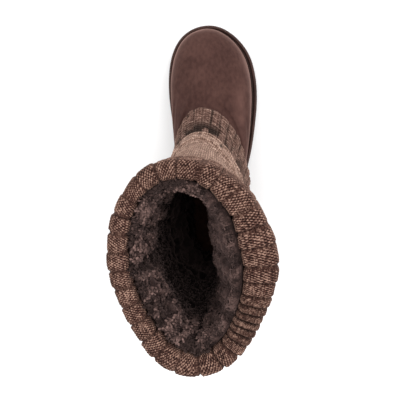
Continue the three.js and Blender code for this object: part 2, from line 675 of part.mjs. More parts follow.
const cuffWidth = (turn) => CUFF_ROLL * roundThrough(CUFF_FLARE, turn, "width");

// Turns that are even along the collar but closer together where the ribs crowd.
function crowdedTurns(count) {
  const steps = 720;
  const step = (2 * Math.PI) / steps;
  const sums = [0];
  for (let turn = 0; sums.length <= steps; turn += step) {
    const length = legPoint(COLLAR_RING, turn + step).distanceTo(legPoint(COLLAR_RING, turn));
    const apart = (((turn + step / 2) * 180) / Math.PI - CROWD_AT) / CROWD_WIDTH;
    sums.push(sums.at(-1) + length * (1 + CROWD_DENSITY * Math.exp(-(apart ** 2))));
  }
  return Array.from({ length: count }, (_, index) => {
    const wanted = (index / count) * sums.at(-1);
    const after = sums.findIndex((sum) => sum > wanted);
    return (after - (sums[after] - wanted) / (sums[after] - sums[after - 1])) * step;
  });
}

function cuffGeometry() {
  const count = CUFF_RIBS * POINTS_PER_RIB;
  const half = KNIT_WALL / 2;
  const foot = BOOT_HEIGHT - CUFF_LEG;
  const turns = crowdedTurns(count);
  const section = CUFF_SECTION.map((row) =>
    turns.map((turn, index) => {
      const groove = index % POINTS_PER_RIB === 0 ? CUFF_RIB_RELIEF : 0;
      const out = cuffWidth(turn) * row.out + CUFF_WALL * row.wall - row.rib * groove - half;
      const point = shaftSide(BOOT_HEIGHT - CUFF_DEPTH * row.down, turn, out);
      point.z -= row.sink * groove;
      return point;
    }),
  );
  const levelRing = (height, out) => turns.map((turn) => shaftSide(height, turn, out));
  const underFold = levelRing(BOOT_HEIGHT - CUFF_FOLD, half);
  return ringGeometry(
    [levelRing(foot, half), underFold, ...section.reverse(), levelRing(foot, -half)],
    "loop",
  );
}

// Lining: fleece sock from just under the collar's top down to the insole, with
// raised curls on its inner face.
const LINING_FOOT_ROWS = [3, 4.5, 6, 7, 8, 9];
const LINING_LEVELS = [0.14, 0.36, 0.58, 0.78, 0.93].map((share) =>
  lerp(ANKLE_HEIGHT, BOOT_HEIGHT - LINING_DROP, share),
);

function liningGeometry() {
  const outer = SUEDE_WALL + LINING_EASE;
  const padTop = (y) => floorHeight(y) + 2 * CLEARANCE + INSOLE_THICKNESS;
  const baseRing = (out) =>
    ringOf(AROUND, (turn) => {
      const point = skinPoint(1, turn, out);
      point.z = padTop(point.y);
      return point;
    });
  const curl = (row, index) => ((row + index) % 2 === 0 ? CURL_RELIEF : 0);
  const top = BOOT_HEIGHT - LINING_DROP;
  const hang = (height, turn, column) => {
    const down = positionAt(FLEECE_DOWN, clamp((top - height) / (top - ANKLE_HEIGHT), 0, 1));
    return through(FLEECE_DOWN, down, column) * roundThrough(FLEECE_AROUND, turn, column);
  };
  const backRing = (height) =>
    ringOf(AROUND, (turn) => shaftSide(height, turn, -outer - LINING_SAG * hang(height, turn, "sag")));
  const pileRing = (height, depthAt) =>
    ringOf(AROUND, (turn, index) => {
      const sag = LINING_SAG * hang(height, turn, "sag");
      const roll = LINING_ROLL * hang(height, turn, "roll");
      return shaftSide(height, turn, -outer - depthAt(index) - sag - roll);
    });
  const outside = [
    baseRing(-outer),
    ...UPPER_INNER_ROWS.slice(2).map((row) => ringOf(AROUND, (turn) => skinPoint(row, turn, -outer))),
    ...SHAFT_LEVELS.map(backRing),
    backRing(SHAFT_TOP),
    backRing(top - LINING_ROUNDING),
  ];
  const inside = [
    pileRing(top, () => PILE_DEPTH * 0.45),
    ...LINING_LEVELS.toReversed().map((height, row) =>
      pileRing(height, (index) => PILE_DEPTH + curl(row, index)),
    ),
    ...LINING_FOOT_ROWS.toReversed().map((row, order) =>
      ringOf(AROUND, (turn, index) => skinPoint(row, turn, -outer - PILE_DEPTH - curl(order, index))),
    ),
    baseRing(-outer - PILE_DEPTH),
  ];
  return ringGeometry([...outside, ...inside], "loop");
}

// The boot's pieces with their colours
function piece(name, geometry, color, roughness) {
  geometry.computeVertexNormals();
  const material = new THREE.MeshStandardMaterial({ color, roughness, metalness: 0 });
  const mesh = new THREE.Mesh(geometry, material);
  mesh.name = name;
  return mesh;
}

const boot = new THREE.Group();
boot.add(
  piece("outsole", outsoleGeometry(), 0x4a3530, 0.6),
  piece("welt", weltGeometry(), 0x33211d, 0.7),
  piece("upper", upperGeometry(), 0x5f4742, 0.95),
  piece("insole", insoleGeometry(), 0x6b4a3e, 0.95),
  piece("ankle_band", bandGeometry(), 0x6b5144, 1),
  piece("knit_shaft", shaftGeometry(), 0x8a6f60, 1),
  piece("knit_cuff", cuffGeometry(), 0x6b5144, 1),
  piece("fleece_lining", liningGeometry(), 0x4a3c3c, 1),
);

export default boot;
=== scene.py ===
import math

import bpy
import numpy as np
from mathutils import Matrix, Vector


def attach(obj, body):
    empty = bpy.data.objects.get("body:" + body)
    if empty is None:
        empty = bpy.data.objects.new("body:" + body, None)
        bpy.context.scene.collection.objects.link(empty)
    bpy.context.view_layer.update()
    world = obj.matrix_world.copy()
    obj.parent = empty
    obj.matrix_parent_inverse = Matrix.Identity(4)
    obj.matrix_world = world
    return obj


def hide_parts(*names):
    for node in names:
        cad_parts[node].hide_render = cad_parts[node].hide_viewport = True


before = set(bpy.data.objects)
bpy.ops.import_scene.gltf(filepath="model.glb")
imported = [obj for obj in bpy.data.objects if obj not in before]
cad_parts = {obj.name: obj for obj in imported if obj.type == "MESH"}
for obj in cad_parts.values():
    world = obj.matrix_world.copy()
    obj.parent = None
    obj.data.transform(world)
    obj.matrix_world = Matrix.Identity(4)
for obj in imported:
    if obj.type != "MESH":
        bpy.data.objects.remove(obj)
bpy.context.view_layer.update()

# Outsole: one cup moulded in brown rubber, with a rolled lip, a groove along its
# side and cross lugs. The suede foot is stuck down inside the lip. The mesh is a
# round of the sole's outline swept up its side, with the lug grooves cut out.
MM = 0.001
SOLE_LENGTH = 280.0
HEEL_SEAT = 38.0
TOE_SWING = 5.0
BALL_WIDTH = 103.0
SOLE_WIDTHS = np.array([76, 76, 76, 76, 75] + [BALL_WIDTH] * 6)
SOLE_INNER = SOLE_WIDTHS * [0.868, 0.77, 0.625, 0.53, 0.466, 0.378, 0.443, 0.511, 0.585, 0.676, 0.79]
SOLE_OUTER = SOLE_WIDTHS * [0.868, 0.77, 0.638, 0.559, 0.567, 0.462, 0.512, 0.571, 0.632, 0.69, 0.69]
HEEL_FLOOR = 24.5
BALL_FLOOR = 16.5
TOE_SPRING = 9.0
ARCH_RISE = 4.0
HEEL_BEVEL = 1.5
FLOOR_PLACES = [0.0, 0.2, 0.4, 0.6, 0.75, 0.9, 1.0]
FLOOR_DROP = [0.0, 0.0, 0.38, 0.93, 1.0, 1.0, 1.0]
FLOOR_SPRING = [0.0, 0.0, 0.0, 0.0, 0.02, 0.2, 0.55]
HEEL_FLAT = (0.03, 0.27)
BALL_FLAT = (0.57, 0.8)
LIP_HEIGHT = 4.0
LIP_WIDTH = 3.6
LUG_PITCH = 13.0
LUG_GROOVE = 4.6
LUG_DEPTH = 3.2
LUG_MARGIN = 9.0
LUG_CHEVRON = 4.0
# Rows of grooves: the first one's distance from the heel's end, and how many.
LUG_ROWS = [(14.5, 5), (169.0, 6)]
SOLE_SIDES = 288
# Where the height is counted from, the rise above that, and the distance in.
SOLE_SIDE = [
    ("tread", 0.0, 4.5), ("tread", 0.4, 3.2), ("tread", 1.3, 2.2), ("tread", 2.4, 1.75),
    ("floor", -6.9, 1.25), ("floor", -6.6, 1.2), ("floor", -6.1, 1.9), ("floor", -5.9, 2.6),
    ("floor", -4.1, 2.6), ("floor", -3.9, 1.9), ("floor", -3.5, 0.8), ("lip", -3.5, 0.15),
    ("lip", -3.0, 0.0), ("lip", -1.4, 0.05), ("lip", -0.6, 0.45), ("lip", -0.1, 1.2),
    ("lip", 0.0, 1.9), ("lip", -0.15, 2.6), ("lip", -0.7, 3.3), ("lip", -1.6, 3.55), ("floor", 0.0, 3.6),
]


def lerp(a, b, t):
    return a + (b - a) * t


def bend_between(a, b, c, d, t):
    """Smooth curve from b (t is 0) to c (t is 1), with a before them and d after."""
    return b + 0.5 * t * (c - a + t * (2 * a - 5 * b + 4 * c - d + t * (3 * (b - c) + d - a)))


def spline(values, position):
    """Smooth curve through values at positions 0, 1, 2 and so on."""
    values = np.asarray(values, float)
    position = np.asarray(position, float)
    last = len(values) - 1
    index = np.clip(np.floor(position).astype(int), 0, last - 1)
    t = position - index
    b = values[index]
    c = values[index + 1]
    a = np.where(index > 0, values[np.maximum(index - 1, 0)], 2 * b - c)
    d = np.where(index + 2 <= last, values[np.minimum(index + 2, last)], 2 * c - b)
    return bend_between(a, b, c, d, t)


def outline(turn):
    at = (1 + np.cos(turn)) / 2
    side = np.sin(turn)
    half = np.where(side >= 0, spline(SOLE_INNER, at * 10), spline(SOLE_OUTER, at * 10))
    return TOE_SWING * at + half * side, HEEL_SEAT - SOLE_LENGTH * at


def inset_outline(turn, inset):
    step = 0.02
    x1, y1 = outline(turn + step)
    x0, y0 = outline(turn - step)
    length = np.hypot(x1 - x0, y1 - y0)
    x, y = outline(turn)
    return x - (y1 - y0) / length * inset, y + (x1 - x0) / length * inset


def floor_height(y):
    at = np.clip((HEEL_SEAT - y) / SOLE_LENGTH, 0, 1)
    position = np.interp(at, FLOOR_PLACES, np.arange(len(FLOOR_PLACES)))
    level = lerp(HEEL_FLOOR, BALL_FLOOR, spline(FLOOR_DROP, position))
    return level + TOE_SPRING * spline(FLOOR_SPRING, position)


def tread_height(y):
    at = np.clip((HEEL_SEAT - y) / SOLE_LENGTH, 0, 1)
    heel = HEEL_BEVEL * np.clip(1 - at / HEEL_FLAT[0], 0, 1) ** 2
    toe = TOE_SPRING * np.clip((at - BALL_FLAT[1]) / (1 - BALL_FLAT[1]), 0, 1) ** 2
    arch = np.clip((at - HEEL_FLAT[1]) / (BALL_FLAT[0] - HEEL_FLAT[1]), 0, 1)
    return heel + toe + ARCH_RISE * np.sin(math.pi * arch) ** 2


def turns(count):
    return 2 * math.pi * np.arange(count) / count


def plan_ring(inset, height_at, count=SOLE_SIDES):
    x, y = inset_outline(turns(count), inset)
    return np.stack([x, y, height_at(y)], axis=-1)


def add_object(name, data):
    made = bpy.data.objects.new(name, data)
    bpy.context.scene.collection.objects.link(made)
    return made


def finish_mesh(mesh, marks):
    """Smooth shading, and values at the points that a material can read."""
    mesh.polygons.foreach_set("use_smooth", np.ones(len(mesh.polygons), bool))
    for key, value in marks.items():
        mark = mesh.attributes.new(key, "FLOAT", "POINT")
        mark.data.foreach_set("value", np.asarray(value, float).ravel())


def grid_object(name, points, wales=1.0, courses=None, loop=False, caps=False, marks=None):
    """Mesh of rings of points in millimetres, with a map that counts wales and courses."""
    rows, columns = points.shape[:2]
    spans = rows if loop else rows - 1
    row = np.arange(spans)[:, None]
    column = np.arange(columns)[None, :]
    low = row * columns
    high = (row + 1) % rows * columns
    ahead = (column + 1) % columns
    faces = np.stack([low + column, low + ahead, high + ahead, high + column], axis=-1)
    faces = faces.reshape(-1, 4).tolist()
    if courses is None:
        courses = np.arange(rows)
    if caps:
        top = (rows - 1) * columns
        strips = columns // 2
        for i in range(strips):
            near = columns - i - 1
            if i == 0:
                corners = [0, near, 1]
            elif i < strips - 1:
                corners = [i, columns - i, near, i + 1]
            else:
                corners = [i, columns - i, near]
            faces.append(corners)
            faces.append([top + corner for corner in reversed(corners)])
    mesh = bpy.data.meshes.new(name)
    mesh.from_pydata((points.reshape(-1, 3) * MM).tolist(), [], faces)
    u = np.stack([column, column + 1, column + 1, column], axis=-1) * wales / columns
    u = np.broadcast_to(u, (spans, columns, 4))
    v_low = courses[row]
    v_high = courses[np.minimum(row + 1, rows - 1)]
    v = np.broadcast_to(np.stack([v_low, v_low, v_high, v_high], axis=-1), (spans, columns, 4))
    uv = np.zeros((len(mesh.loops), 2))
    uv[: u.size, 0] = u.ravel()
    uv[: v.size, 1] = v.ravel()
    mesh.uv_layers.new(name="UVMap").data.foreach_set("uv", uv.ravel())
    finish_mesh(mesh, marks or {})
    return add_object(name, mesh)


def linear(code):
    """Colour for a shader from the six digits of a web colour."""
    parts = [int(code[i:i + 2], 16) / 255 for i in (0, 2, 4)]
    return tuple(p / 12.92 if p <= 0.04045 else ((p + 0.055) / 1.055) ** 2.4 for p in parts) + (1.0,)


def add_node(tree, kind, settings=None, **inputs):
    made = tree.nodes.new(kind)
    for key, value in (settings or {}).items():
        setattr(made, key, value)
    for key, value in inputs.items():
        socket = made.inputs[key.replace("_", " ")]
        if isinstance(value, bpy.types.NodeSocket):
            tree.links.new(value, socket)
        else:
            socket.default_value = value
    return made


def noise(tree, vector, scale, detail=3.0, stretch=(1, 1, 1)):
    placed = add_node(tree, "ShaderNodeMapping", Vector=vector, Scale=stretch)
    made = add_node(tree, "ShaderNodeTexNoise", Vector=placed.outputs[0], Scale=scale, Detail=detail)
    return made.outputs[0]


def ramp(tree, factor, stops):
    made = tree.nodes.new("ShaderNodeValToRGB")
    tree.links.new(factor, made.inputs[0])
    elements = made.color_ramp.elements
    while len(elements) < len(stops):
        elements.new(0.5)
    for element, (place, color) in zip(elements, stops):
        element.position = place
        element.color = color
    return made.outputs[0]


def new_material(name, roughness, specular=0.3, sheen=0.0, sheen_roughness=0.5, tint="ffffff"):
    made = bpy.data.materials.new(name)
    made.use_nodes = True
    shader = made.node_tree.nodes["Principled BSDF"]
    shader.inputs["Roughness"].default_value = roughness
    shader.inputs["Specular IOR Level"].default_value = specular
    shader.inputs["Sheen Weight"].default_value = sheen
    shader.inputs["Sheen Roughness"].default_value = sheen_roughness
    shader.inputs["Sheen Tint"].default_value = linear(tint)
    return made, made.node_tree, shader


def finish_material(tree, shader, color, height, strength, distance):
    bump = add_node(tree, "ShaderNodeBump", Strength=strength, Distance=distance * MM, Height=height)
    tree.links.new(bump.outputs[0], shader.inputs["Normal"])
    tree.links.new(color, shader.inputs["Base Color"])


def object_coordinates(tree):
    return add_node(tree, "ShaderNodeTexCoord").outputs["Object"]


def place_piece(piece, material, node):
    piece.data.materials.clear()
    piece.data.materials.append(material)
    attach(piece, "root")
    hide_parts(node)


SOLE_LEVELS = {"tread": tread_height, "floor": floor_height, "lip": lambda y: floor_height(y) + LIP_HEIGHT}
sole_rings = [
    plan_ring(inset, lambda y, level=level, rise=rise: SOLE_LEVELS[level](y) + rise)
    for level, rise, inset in SOLE_SIDE
]
outsole = grid_object("outsole_fine", np.array(sole_rings), caps=True)


def lug_cutter(along):
    """Corners of a prism that cuts one groove, lower six first."""
    y = HEEL_SEAT - along
    turn = math.acos(2 * along / SOLE_LENGTH - 1)
    inner = float(inset_outline(np.array(turn), LUG_MARGIN)[0])
    outer = float(inset_outline(np.array(-turn), LUG_MARGIN)[0])
    middle = (inner + outer) / 2
    level = float(tread_height(np.array(y)))
    line = [(outer, y), (middle, y - LUG_CHEVRON), (inner, y)]
    ring = [(px, py - LUG_GROOVE / 2) for px, py in line]
    ring += [(px, py + LUG_GROOVE / 2) for px, py in reversed(line)]
    return [(px, py, level + lift) for lift in (-LUG_DEPTH, LUG_DEPTH) for px, py in ring]


cut_points = []
cut_faces = []
for along in [start + LUG_PITCH * i for start, count in LUG_ROWS for i in range(count)]:
    first = len(cut_points)
    cut_points += [tuple(c * MM for c in corner) for corner in lug_cutter(along)]
    for side in range(6):
        after = (side + 1) % 6
        cut_faces.append([first + side, first + after, first + 6 + after, first + 6 + side])
    for ends in ((0, 5, 4, 1), (1, 4, 3, 2), (6, 7, 10, 11), (7, 8, 9, 10)):
        cut_faces.append([first + i for i in ends])
cutter_mesh = bpy.data.meshes.new("lug_cutters")
cutter_mesh.from_pydata(cut_points, [], cut_faces)
cutters = add_object("lug_cutters", cutter_mesh)
carve = outsole.modifiers.new("lugs", "BOOLEAN")
carve.object = cutters
carve.solver = "EXACT"
carved = bpy.data.meshes.new_from_object(outsole.evaluated_get(bpy.context.evaluated_depsgraph_get()))
outsole.modifiers.clear()
outsole.data = carved
outsole.data.set_sharp_from_angle(angle=math.radians(50))
bpy.data.objects.remove(cutters)

rubber, tree, shader = new_material("sole_rubber_brown", 0.6, specular=0.22)
place = object_coordinates(tree)
tone = ramp(tree, noise(tree, place, 45, detail=4), [(0.3, linear("33211d")), (0.7, linear("48312b"))])
finish_material(tree, shader, tone, noise(tree, place, 1500, detail=2), 0.25, 0.15)
place_piece(outsole, rubber, "outsole")

# Welt: a thin strip of darker rubber laid into the joint between the lip and the
# suede, all round the foot. It shows as a dark line.
WELT_OUTER = LIP_WIDTH + 0.3
WELT_INNER = WELT_OUTER + 2.2
# Distance in from the sole's outline, and height above its floor.
WELT_SECTION = [
    (WELT_INNER, 0.3), (WELT_OUTER, 0.3), (WELT_OUTER, 2.3), (WELT_OUTER + 0.6, 2.8),
    (WELT_INNER - 0.5, 2.8), (WELT_INNER, 2.4),
]
welt_rings = [
    plan_ring(inset, lambda y, rise=rise: floor_height(y) + rise) for inset, rise in WELT_SECTION
]
welt = grid_object("welt_fine", np.array(welt_rings), loop=True)
strip, tree, shader = new_material("welt_rubber_dark", 0.7, specular=0.2)
place = object_coordinates(tree)
tone = ramp(tree, noise(tree, place, 90), [(0.3, linear("231511")), (0.7, linear("38241f"))])
finish_material(tree, shader, tone, noise(tree, place, 1200), 0.2, 0.1)
place_piece(welt, strip, "welt")

# Suede foot: one piece of brown suede drawn over a last, with a full round toe,
# an instep that rises to the ankle and a rounded heel. Its nap is brushed in soft
# patches, and it creases a little where the foot bends.
SEAT_INSET = 6.4
SUEDE_WALL = 2.0
INSTEP_AT = 187.0
INSTEP_HEIGHT = 79.0
ANKLE_HEIGHT = 112.0
ANKLE_FRONT = 112.0
ANKLE_BACK = 31.0
ANKLE_INNER = 38.0
ANKLE_OUTER = 40.5
ANKLE_SWING = 7.0
FOOT_SWELL = 1.6
GAP = 0.3
# Rings above and below that an evened direction is taken over, past the waist's shelf.
EVEN_RISE = 0.6
FOOT_TABLE = {
    "reach": [0, 0, 0, 0.01, 0.075, 0.25, 0.51, 0.8, 1, 1.72, 2],
    "rise": [0, 0.07, 0.22, 0.42, 0.63, 0.8, 0.905, 0.965, 1, 1.42, 2],
    "heel": [0, 0.045, 0.1, 0.17, 0.24, 0.31, 0.38, 0.45, 0.52, 0.75, 1],
    "dip": [0, 0, 0, 0.01, 0.03, 0.06, 0.09, 0.11, 0.125, 0.05, 0],
    "plan": [1, 1, 0.97, 0.85, 0.65, 0.4, 0.2, 0.1, 0, 0, 0],
    "floor": [1, 1, 0.9, 0.7, 0.5, 0.3, 0.2, 0.1, 0, 0, 0],
    "swell": [0, 0, 0.5, 0.8, 0.8, 0.8, 0.6, 0.3, 0.2, 0, 0],
    "inner": [0.84, 0.84, 0.82, 0.79, 0.76, 0.73, 0.7, 0.68, 0.68, 0.7, 0.7],
    "outer": [0.92, 0.92, 0.93, 0.93, 0.9, 0.85, 0.83, 0.84, 0.86, 0.86, 0.86],
    "ankle": [0, 0, 0, 0, 0, 0, 0, 0.1, 0.2, 0.8, 1],
    "egg": [0.2, 0.2, 0.2, 0.2, 0.2, 0.18, 0.12, 0.06, 0.02, -0.1, -0.15],
}
BOOT_HEIGHT = 300.0
COLLAR_FRONT = 98.5
COLLAR_BACK = 52.0
COLLAR_HALF = 49.0
COLLAR_SWING_FRONT = 3.0
COLLAR_SWING_BACK = -11.0
SHAFT_TABLE = {
    "up": [0, 0.122, 0.255, 0.468, 0.7, 0.91, 1],
    "front": [0, 0.08, 0.25, 0.65, 0.93, 1, 1],
    "back": [0, 0, 0.1, 0.36, 0.69, 0.94, 1],
    "inner": [0, 0.35, 0.72, 0.92, 0.97, 1, 1],
    "outer": [0, 0.3, 0.55, 0.7, 0.9, 1, 1],
    "swing": [0, 0, 0.15, 0.4, 0.75, 0.95, 1],
    "egg": [0, 0.1, 0.3, 0.6, 0.85, 1, 1],
}
ANKLE_EGG = -0.15
COLLAR_EGG = 0.08
ANKLE_RING = 10.0
COLLAR_RING = 16.0


def by_stages(stage, first, second, third):
    return np.where(stage <= 1, lerp(first, second, stage), lerp(second, third, stage - 1))


def foot_surface(ring, turn):
    cell = {key: spline(column, ring) for key, column in FOOT_TABLE.items()}
    side = np.sin(turn)
    swell = FOOT_SWELL * cell["swell"]
    inset = SEAT_INSET - swell
    plan_x, plan_y = inset_outline(turn, inset)
    plan_forward = (HEEL_SEAT - plan_y - inset) / (SOLE_LENGTH - 2 * inset)
    forward = lerp((1 + np.cos(turn)) / 2, plan_forward, cell["plan"])
    toe_along = SOLE_LENGTH - SEAT_INSET + swell
    front = by_stages(cell["reach"], toe_along, INSTEP_AT, HEEL_SEAT + ANKLE_FRONT)
    back = lerp(SEAT_INSET, HEEL_SEAT - ANKLE_BACK, cell["heel"]) - swell
    y = HEEL_SEAT - lerp(back, front, forward)
    toe_floor = float(floor_height(np.array(HEEL_SEAT - SOLE_LENGTH))) + GAP
    heel_floor = HEEL_FLOOR + GAP
    front_up = by_stages(cell["rise"], toe_floor, INSTEP_HEIGHT, ANKLE_HEIGHT)
    back_up = lerp(heel_floor, ANKLE_HEIGHT, cell["heel"])
    sag = floor_height(y) + GAP - lerp(heel_floor, toe_floor, forward)
    z = lerp(back_up, front_up, forward) + cell["floor"] * sag - cell["dip"] * ANKLE_HEIGHT * side**2
    foot_half = np.where(side >= 0, cell["inner"], cell["outer"]) * BALL_WIDTH / 2
    half = lerp(foot_half, np.where(side >= 0, ANKLE_INNER, ANKLE_OUTER), cell["ankle"])
    middle = lerp(0, lerp(TOE_SWING, ANKLE_SWING, cell["ankle"]), forward)
    oval = middle + half * (1 + cell["egg"] * np.cos(turn)) * side
    return np.stack([lerp(oval, plan_x, cell["plan"]), y, z], axis=-1)


def shaft_surface(ring, turn):
    cell = {key: spline(column, ring - ANKLE_RING) for key, column in SHAFT_TABLE.items()}
    forward = (1 + np.cos(turn)) / 2
    side = np.sin(turn)
    front = lerp(ANKLE_FRONT, COLLAR_FRONT, cell["front"])
    back = lerp(ANKLE_BACK, COLLAR_BACK, cell["back"])
    inner = lerp(ANKLE_INNER, COLLAR_HALF, cell["inner"])
    outer = lerp(ANKLE_OUTER, COLLAR_HALF, cell["outer"])
    middle_front = lerp(ANKLE_SWING, COLLAR_SWING_FRONT, cell["swing"])
    middle_back = lerp(0, COLLAR_SWING_BACK, cell["swing"])
    fullness = 1 + lerp(ANKLE_EGG, COLLAR_EGG, cell["egg"]) * np.cos(turn)
    x = lerp(middle_back, middle_front, forward) + np.where(side >= 0, inner, outer) * fullness * side
    return np.stack([x, lerp(back, -front, forward), lerp(ANKLE_HEIGHT, BOOT_HEIGHT, cell["up"])], axis=-1)


def leg(ring, turn):
    """Outer face of the suede, and above the ankle the middle of the knitted wall."""
    ring, turn = np.broadcast_arrays(np.asarray(ring, float), np.asarray(turn, float))
    low = foot_surface(np.minimum(ring, ANKLE_RING), turn)
    high = shaft_surface(np.maximum(ring, ANKLE_RING), turn)
    return np.where((ring <= ANKLE_RING)[..., None], low, high)


def unit(vectors):
    return vectors / np.maximum(np.linalg.norm(vectors, axis=-1, keepdims=True), 1e-9)


def leg_normal(ring, turn, rise=0.06):
    """Outward direction of the leg; a greater rise evens out the shelf at the waist."""
    step = 0.06
    upward = leg(np.minimum(ring + rise, COLLAR_RING), turn) - leg(np.maximum(ring - rise, 0), turn)
    around = leg(ring, turn + step) - leg(ring, turn - step)
    return unit(np.cross(around, upward))


def beside_leg(ring, turn, out, rise=0.06):
    """Point that far out from the leg's surface, or in from it for less than 0."""
    return leg(ring, turn) + leg_normal(ring, turn, rise) * np.asarray(out)[..., None]


def smooth_step(t):
    return t * t * (3 - 2 * t)


def value_noise(points, size, seed):
    """Smooth noise from -1 to 1 with lumps of that size, the same on each run."""
    table = np.random.default_rng(seed).uniform(-1, 1, (32, 32, 32))
    place = np.asarray(points) / size
    base = np.floor(place).astype(int)
    t = smooth_step(place - base)
    total = 0
    for corner in range(8):
        bits = np.array([corner & 1, corner >> 1 & 1, corner >> 2 & 1])
        weight = np.prod(np.where(bits == 1, t, 1 - t), axis=-1)
        i, j, k = np.moveaxis((base + bits) % 32, -1, 0)
        total = total + weight * table[i, j, k]
    return total


def degrees_apart(turn, degrees):
    return (np.degrees(turn) - degrees + 180) % 360 - 180


def calc(tree, operation, *values):
    made = tree.nodes.new("ShaderNodeMath")
    made.operation = operation
    for socket, value in zip(made.inputs, values):
        if isinstance(value, bpy.types.NodeSocket):
            tree.links.new(value, socket)
        else:
            socket.default_value = value
    return made.outputs[0]


def blend(tree, factor, a, b, mode="MIX"):
    made = tree.nodes.new("ShaderNodeMix")
    made.data_type = "RGBA"
    made.blend_type = mode
    for index, value in ((0, factor), (6, a), (7, b)):
        if isinstance(value, bpy.types.NodeSocket):
            tree.links.new(value, made.inputs[index])
        else:
            made.inputs[index].default_value = value
    return made.outputs[2]


def times(tree, a, b):
    return calc(tree, "MULTIPLY", a, b)


def plus(tree, a, b):
    return calc(tree, "ADD", a, b)


def mark_value(tree, key):
    return add_node(tree, "ShaderNodeAttribute", {"attribute_name": key}).outputs["Fac"]


# Soft creases of the suede: ring and degrees of the middle, half height in rings,
# half width in degrees and depth. The first lie across the vamp by the band.
CREASES = [
    (6.4, 18, 0.28, 26, 0.7),
    (6.9, -14, 0.25, 30, 0.6),
    (7.6, 40, 0.3, 22, 0.8),
    (7.4, -46, 0.3, 20, 0.8),
    (5.6, 62, 0.3, 14, 0.5),
    (5.3, -66, 0.32, 16, 0.5),
    (6.6, 150, 0.35, 26, 0.9),
    (7.6, 205, 0.35, 24, 0.9),
    (4.2, 178, 0.4, 30, 0.5),
]
suede_rings = np.concatenate([np.linspace(0, 8, 96), np.linspace(8.1, 10, 16)])[:, None]
suede_turns = turns(320)[None, :]
suede_base = leg(suede_rings, suede_turns)
relief = 0.35 * value_noise(suede_base, 22, 11) + 0.12 * value_noise(suede_base, 7, 12)
relief = relief * np.clip(suede_rings / 2, 0, 1)
for ring, degrees, tall, wide, depth in CREASES:
    apart = degrees_apart(suede_turns, degrees)
    bend = ring + 0.12 * np.sin(np.radians(apart) * 5)
    along = np.exp(-((apart / wide) ** 2))
    trough = np.exp(-(((suede_rings - bend) / tall) ** 2)) * along
    ridge = np.exp(-(((suede_rings - bend - 2 * tall) / tall) ** 2)) * along
    relief = relief - depth * trough + 0.45 * depth * ridge
suede_out = beside_leg(suede_rings, suede_turns, relief)
inner_rings = np.linspace(10, 0, 22)[:, None]
suede_in = beside_leg(inner_rings, suede_turns, -SUEDE_WALL, EVEN_RISE)
suede_in[0, :, 2] = suede_out[-1, :, 2]
suede_in[-1, :, 2] = floor_height(suede_in[-1, :, 1]) + GAP
# Painted light on the suede, as paler patches on its outer side and at the toe: ring and degrees, half
# sizes, and how much.
SUEDE_PAINTED_LIGHT = [(6.0, 308, 1.0, 13, 0.75), (5.2, 0, 0.8, 16, 0.3)]
pale = 0
for ring, degrees, tall, wide, amount in SUEDE_PAINTED_LIGHT:
    apart = degrees_apart(suede_turns, degrees)
    pale = pale + amount * np.exp(-(((suede_rings - ring) / tall) ** 2) - (apart / wide) ** 2)
pale = pale * (0.75 + 0.5 * value_noise(suede_out, 9, 13))
pale = np.concatenate([np.clip(pale, 0, 1), np.zeros(suede_in.shape[:2])])
upper = grid_object("suede_foot", np.concatenate([suede_out, suede_in]), loop=True, marks={"pale": pale})
suede, tree, shader = new_material(
    "suede_brown", 0.95, specular=0.1, sheen=0.8, sheen_roughness=0.35, tint="b08c82"
)
place = object_coordinates(tree)
patches = noise(tree, place, 26, detail=4)
brushed = noise(tree, place, 260, detail=5, stretch=(1, 0.7, 1))
tone = ramp(tree, patches, [(0.32, linear("3a2623")), (0.52, linear("432d29")), (0.7, linear("4f3732"))])
tone = blend(tree, 0.25, tone, ramp(tree, brushed, [(0.35, linear("301f1c")), (0.65, linear("5a4039"))]))
# Painted light: paler patches where the light falls on the suede's outer side and toe.
tone = blend(tree, times(tree, mark_value(tree, "pale"), 0.6), tone, linear("6f5049"))
nap = plus(tree, noise(tree, place, 1900, detail=2), times(tree, brushed, 0.8))
finish_material(tree, shader, tone, nap, 0.3, 0.2)
place_piece(upper, suede, "upper")

# Footbed: a foam pad covered in short pile, lying on the sole inside the suede.
# Its reddish brown shows at the bottom of the boot.
PAD_INSET = SEAT_INSET + SUEDE_WALL + GAP
PAD_THICKNESS = 6.0
PAD_SIDES = 144
# Distance in from the pad's edge, and height as a share of its thickness.
PAD_ROWS = [
    (0.0, 0.0), (0.0, 0.35), (0.0, 0.7), (0.25, 0.88), (0.8, 0.97),
    (1.6, 1.0), (6, 1.0), (12, 1.0), (20, 1.0),
]
pad_rings = [
    plan_ring(PAD_INSET + inset, lambda y, up=up: floor_height(y) + GAP + PAD_THICKNESS * up, PAD_SIDES)
    for inset, up in PAD_ROWS
]
footbed = grid_object("footbed_pad", np.array(pad_rings), caps=True)
pile, tree, shader = new_material("footbed_pile", 1.0, specular=0.1, sheen=0.4, tint="b08a78")
place = object_coordinates(tree)
tone = ramp(tree, noise(tree, place, 160, detail=4), [(0.3, linear("2e1b16")), (0.7, linear("432b23"))])
finish_material(tree, shader, tone, noise(tree, place, 900), 0.5, 0.5)
place_piece(footbed, pile, "insole")

# Ankle band: a strip of rib knit in marled brown wool, sewn over the suede's top
# edge. Its ridges, two stitches wide, run down the leg with narrow gaps between.
BAND_RIBS = 38
BAND_SPREAD = 0.14
BAND_WALES = 3 * BAND_RIBS
BAND_COURSES = 23
BAND_LOW = 8.0
BAND_TOP = 9.84
BAND_REACH = 5.15
BAND_RIB_RELIEF = 1.5
BAND_EASE = 0.45
BAND_STITCH_POINTS = 4
YARN_RELIEF = 0.8


def plain_stitches(wale, course):
    """Relief of plain knit: two slanting legs in each stitch, and a gap between the wales."""
    across = np.abs(wale % 1 - 0.5)
    legs = 0.5 + 0.5 * np.cos(2 * math.pi * (course + 0.9 * across))
    crown = np.sqrt(np.clip(np.cos(math.pi * across), 0, 1))
    return crown * (0.45 + 0.55 * legs)


